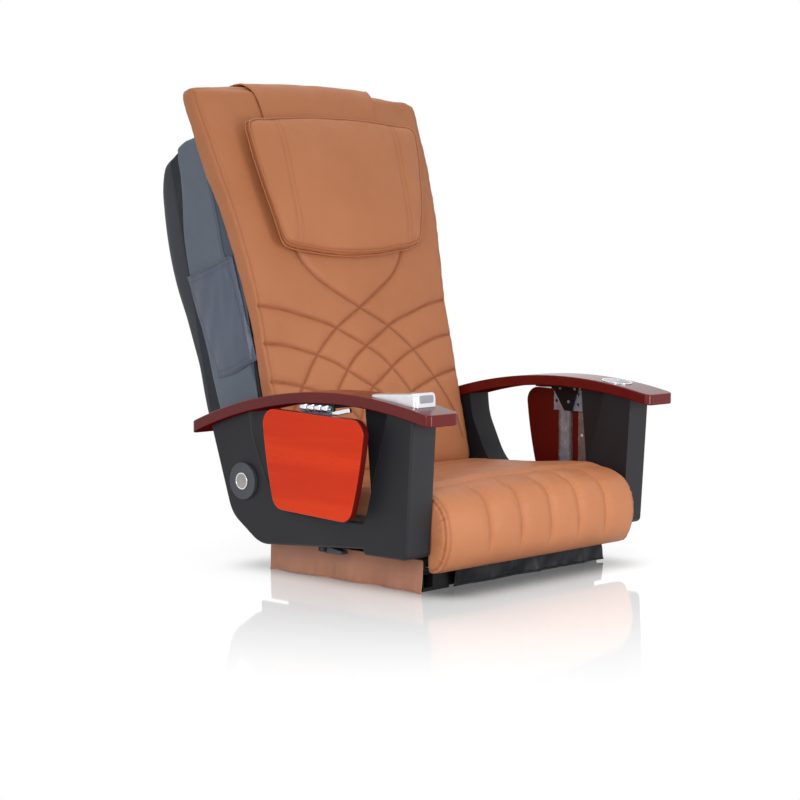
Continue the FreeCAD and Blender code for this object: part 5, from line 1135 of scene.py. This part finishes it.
def makeConsole():
    x, y = console["x"], console["y"]
    plan = roundedPlan(x, y, console["corners"])
    middle, half = [np.array([(x[1] + sign * x[0]) / 2, (y[1] + sign * y[0]) / 2]) for sign in (1, -1)]
    rings = []
    for inset, rise in console["rings"]:
        ring = []
        for spot in middle + (plan - middle) * (1 - inset / half):
            share = max(0.0, (y[1] - spot[1]) / (y[1] - y[0]))
            low = armHeight(spot[1]) + 0.0003
            high = console["rearTop"] + (console["frontTop"] - console["rearTop"]) * share ** 2.4
            dome = console["dome"] * min(1.0, inset / 0.012) if rise >= 1 else 0.0
            ring.append((spot[0], spot[1], low + (high - low) * rise + dome))
        rings.append(ring)
    piece = skinned("controlPod", rings, "silver")
    tools = []
    for k, name in enumerate(sorted(node for node in cadNodes if node.startswith("button"))):
        low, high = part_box(name)
        radius = (high[0] - low[0]) / 2 + 0.0005
        tools.append(lathe(f"buttonHole{k}", ((low[0] + high[0]) / 2, (low[1] + high[1]) / 2, high[2] - 0.0095),
                           (0, 0, 1), ((0, 1e-5), (0, radius), (0.02, radius), (0.02, 1e-5)), "silver", 32))
        modify(piece, "BOOLEAN", operation="DIFFERENCE", object=tools[-1])
    bake(piece)
    for tool in tools:
        bpy.data.objects.remove(tool)
    tidyUp(piece)
    piece.data.shade_smooth()
    piece.data.set_sharp_from_angle(angle=math.radians(40))
    glass = roundedPlan(*console["display"], (0.004,) * 4)
    middle = np.array([sum(ends) / 2 for ends in console["display"]])
    rings = [[(spot[0], y[0] - out, spot[1]) for spot in middle + (glass - middle) * shrink]
             for shrink, out in ((1.0, -0.003), (1.0, 0.0004), (0.975, 0.0008), (0.94, 0.0009))]
    settle("arm_right", None, piece, skinned("podDisplay", rings, "display"))
    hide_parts("console_housing")


# tray hinges, pivot rims, rail screws
hinge = {"x": 0.388, "z": 0.350, "front": -0.0745, "rear": 0.0035, "bands": 4, "gap": 0.002, "bandRadius": 0.0073,
         "bore": 0.0064, "bevel": 0.0007,
         "link": {"x": 0.386, "ends": ((-0.079, 0.341), (-0.127, 0.3512)), "wide": 0.008, "high": 0.009,
                  "round": 0.0015}}
# screws on the sitter's left side; facing is 1 for outwards
screws = {
    "trayScrews": {"spots": ((0.389, -0.070, 0.185), (0.389, -0.070, 0.245), (0.389, -0.070, 0.305),
                             (0.390, -0.053, 0.172), (0.390, -0.046, 0.172)),
                   "facing": -1, "look": "silver", "body": "tray_", "slot": "zinc_steel", "head": (0.0034, 0.0016)},
    "gussetScrews": {"spots": ((0.377, -0.058, 0.347), (0.377, -0.018, 0.347), (0.377, -0.042, 0.318)),
                     "facing": -1, "look": "zinc", "body": "arm_", "slot": "zinc_steel", "head": (0.0036, 0.0018)},
    "plateBolts": {"spots": ((0.295, 0.141, 0.115), (0.295, 0.165, 0.115)),
                   "facing": 1, "look": "greySteel", "body": "seat", "slot": "grey_steel", "head": (0.006, 0.004)},
}


def makeHinges():
    span = (hinge["rear"] - hinge["front"]) / hinge["bands"]
    link, inner, outer, bevel = hinge["link"], hinge["bore"], hinge["bandRadius"], hinge["bevel"]
    for side, word in ((1, "left"), (-1, "right")):
        name = word.capitalize()
        for k in range(hinge["bands"]):
            start = hinge["front"] + span * k + hinge["gap"]
            end = start + span - 2 * hinge["gap"]
            profile = ((start, inner), (start, outer - bevel), (start + bevel, outer), (end - bevel, outer),
                       (end, outer - bevel), (end, inner), (start, inner))
            settle("carrier_" + word, "chrome",
                   lathe(f"hingeBand{name}{k}", (side * hinge["x"], 0.0, hinge["z"]), (0, 1, 0), profile, "chrome"))
        near, far = [np.array((side * link["x"], *spot)) for spot in link["ends"]]
        ahead = (far - near)[1:]
        sideways = np.array((-ahead[1], ahead[0])) / np.linalg.norm(ahead)
        rings = []
        for share, shrink in ((0, 0.6), (0.02, 0.9), (0.06, 1.0), (0.94, 1.0), (0.98, 0.9), (1.0, 0.6)):
            plan = roundedPlan(*[(-link[key] / 2 * shrink, link[key] / 2 * shrink) for key in ("wide", "high")],
                               (link["round"] * shrink,) * 4, 4)
            rings.append([near + np.array((a, *(share * ahead + b * sideways))) for a, b in plan])
        low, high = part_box("pivot_disc_" + word)
        centre = (high[0] if side > 0 else low[0], (low[1] + high[1]) / 2, (low[2] + high[2]) / 2)
        radius = (high[1] - low[1]) / 2
        bead = [(0.0009 * math.cos(a), radius - 0.0012 + 0.0011 * math.sin(a))
                for a in np.linspace(0, 2 * math.pi, 13)]
        settle("arm_" + word, "chrome", skinned("hingeLink" + name, rings, "chrome", smooth=False),
               lathe("pivotRim" + name, centre, (side, 0, 0), bead, "chrome", 64))
        for kind, made in screws.items():
            spots = [(side * x, y, z) for x, y, z in made["spots"]]
            facings = [(side * made["facing"], 0.0, 0.0)] * len(spots)
            repeated(kind + name, "bolt", [(spots, facings)], made["look"],
                     made["body"] + word if made["body"].endswith("_") else made["body"], made["slot"],
                     Head_Radius=made["head"][0], Head_Height=made["head"][1])


# pillow: strapped over the top of the pad, piped round its edge; outline as (x, u)
pillow = {
    "gap": 0.0075, "voxel": 0.0045, "cap": 0.004, "centreU": 0.598, "seamX": 0.165, "seamLean": 0.03,
    "seamGap": 0.010, "seamDepth": 0.0009, "lean": 0.09, "piping": 0.0017, "rims": (0.0095, 0.0218), "sag": 0.008,
    "low": ((-0.2045, 0.486), (-0.198, 0.4765), (-0.180, 0.4695), (-0.128, 0.461), (-0.045, 0.4525), (0.0, 0.4515),
            (0.045, 0.4525), (0.128, 0.461), (0.180, 0.4695), (0.198, 0.4765), (0.2045, 0.486)),
    "left": ((0.209, 0.500), (0.2215, 0.545), (0.2295, 0.578), (0.238, 0.623), (0.2455, 0.665), (0.249, 0.70),
             (0.2495, 0.722)),
    "high": ((0.246, 0.7315), (0.235, 0.7365), (0.205, 0.739), (0.155, 0.7435), (0.09, 0.7475), (0.0, 0.7495),
             (-0.09, 0.7475), (-0.155, 0.7435), (-0.205, 0.739), (-0.235, 0.7365), (-0.246, 0.7315)),
    # shares of the outline and depths, from the back over the two rims to the middle of the front
    "rings": ((0.02, 0.0), (0.5, 0.0), (0.86, 0.0), (0.925, 0.001), (0.965, 0.004), (0.99, 0.0075), (1.0, 0.010),
              (1.0, 0.0165), (1.0, 0.0205), (0.992, 0.0228), (0.978, 0.0245), (0.95, 0.027), (0.90, 0.0297),
              (0.82, 0.0322), (0.68, 0.0345), (0.5, 0.0355), (0.3, 0.036), (0.02, 0.036)),
}


def pillowRest(u):
    # back of the pillow, just in front of the strap sheet on the pad
    return padFront(u) - backPad["crown"] - pillow["gap"]


def pillowLean(u):
    # it hangs a little askew
    return (u - 0.63) * pillow["lean"]


def pillowSeamX(u):
    return pillow["seamX"] + (u - 0.47) * pillow["seamLean"]


def pillowOutline(step=0.006):
    right = tuple((-x, u) for x, u in reversed(pillow["left"]))
    line = throughPoints(pillow["low"] + pillow["left"] + pillow["high"] + right + pillow["low"][:1], step)[:-1]
    return line + np.stack([pillowLean(line[:, 1]), np.zeros(len(line))], axis=1)


def pillowLevel(line, size, depth):
    # the outline at one depth; the back hangs a little lower than the front
    spots = np.array([0.0, pillow["centreU"]]) + (line - (0.0, pillow["centreU"])) * size
    hang = pillow["sag"] * (1 - steady(depth, *pillow["rims"])) * steady(0.53 - line[:, 1], 0.0, 0.06) * size
    return leaned(spots[:, 0], pillowRest(spots[:, 1]) - depth, spots[:, 1] - hang)


def makePillow():
    outline = pillowOutline()
    piece = skinned("headPillow", [pillowLevel(outline, size, depth) for size, depth in pillow["rings"]], "tan")

    def edgeNear(points):
        x, v, u = backCoords(points)
        return x, v, u, seamDistance(np.stack([x, u], axis=1), [outline])

    def sewn(points):
        x, v, u, near = edgeNear(points)
        held = 1.0 * (v > pillowRest(u) - 0.004)
        seams = 0.6 * ridge(np.abs(x) - pillow["seamX"], 0.006)
        return np.maximum(np.maximum(held, seams), ridge(near, 0.006))

    fillCushion(piece, pillow, sewn)
    points = meshPoints(piece)
    x, v, u, near = edgeNear(points)
    face = steady(pillowRest(u) - 0.018 - v, 0.0, 0.006)
    fromSeam = np.abs(x - pillowLean(u)) - pillowSeamX(u)
    seam = np.maximum(*[ridge(fromSeam - offset, 0.0015) for offset in (-pillow["seamGap"] / 2, pillow["seamGap"] / 2)])
    seam, welt = seam * face, ridge(fromSeam, 0.014) * face
    puckers = ridge(near, 0.022) * ripples(points, 0.02, 17) * 0.0012
    push = (seam + welt) * pillow["seamDepth"] + (ripples(points, 0.06, 11) * 0.0014 + puckers) * face
    points += rearBack[None] * push[:, None]
    setPoints(piece, points)
    # painted shade along the seams and the outline edge
    setGroove(piece, seam * 0.2 + ridge(near, 0.003) * 0.3)
    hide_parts("pillow")
    settle("backrest", "tan_cushion", piece)
    line = pillowOutline(0.004)
    beads = [tubeAlong("pillowPiping" + word, pillowLevel(line, 1.004, depth), pillow["piping"], "tan", closed=True)
             for word, depth in zip(("Rear", "Front"), pillow["rims"])]
    settle("backrest", "tan_cushion", *beads)
    surface, levels = surfaceOf(piece), np.linspace(0.476, 0.738, 60)
    runs = []
    for side, offset in ((1, -0.5), (1, 0.5), (-1, -0.5), (-1, 0.5)):
        acrossX = side * (pillowSeamX(levels) + pillow["seamGap"] * offset * 1.7)
        runs.append(seamOn(surface, leaned(acrossX + pillowLean(levels), -0.3, levels), rearBack))
    repeated("pillowStitches", "stitch", runs, "thread", "backrest", "tan_cushion")


padPiece = makeBackPad()
makePadSeams(padPiece)
print("back pad made")
makeSeat()
print("seat cushion made")
makeStrap(padPiece)
makePillow()
print("pillow and strap made")
makeSkirts()
makeFrontFlap()
print("skirts and flap made")
panelSurfaces = makeSidePanels()
makePocket(panelSurfaces[-1])
makeBackCover()
print("backrest sides and cover made")
makeConsole()
makeHinges()
print("console, hinges and screws made")
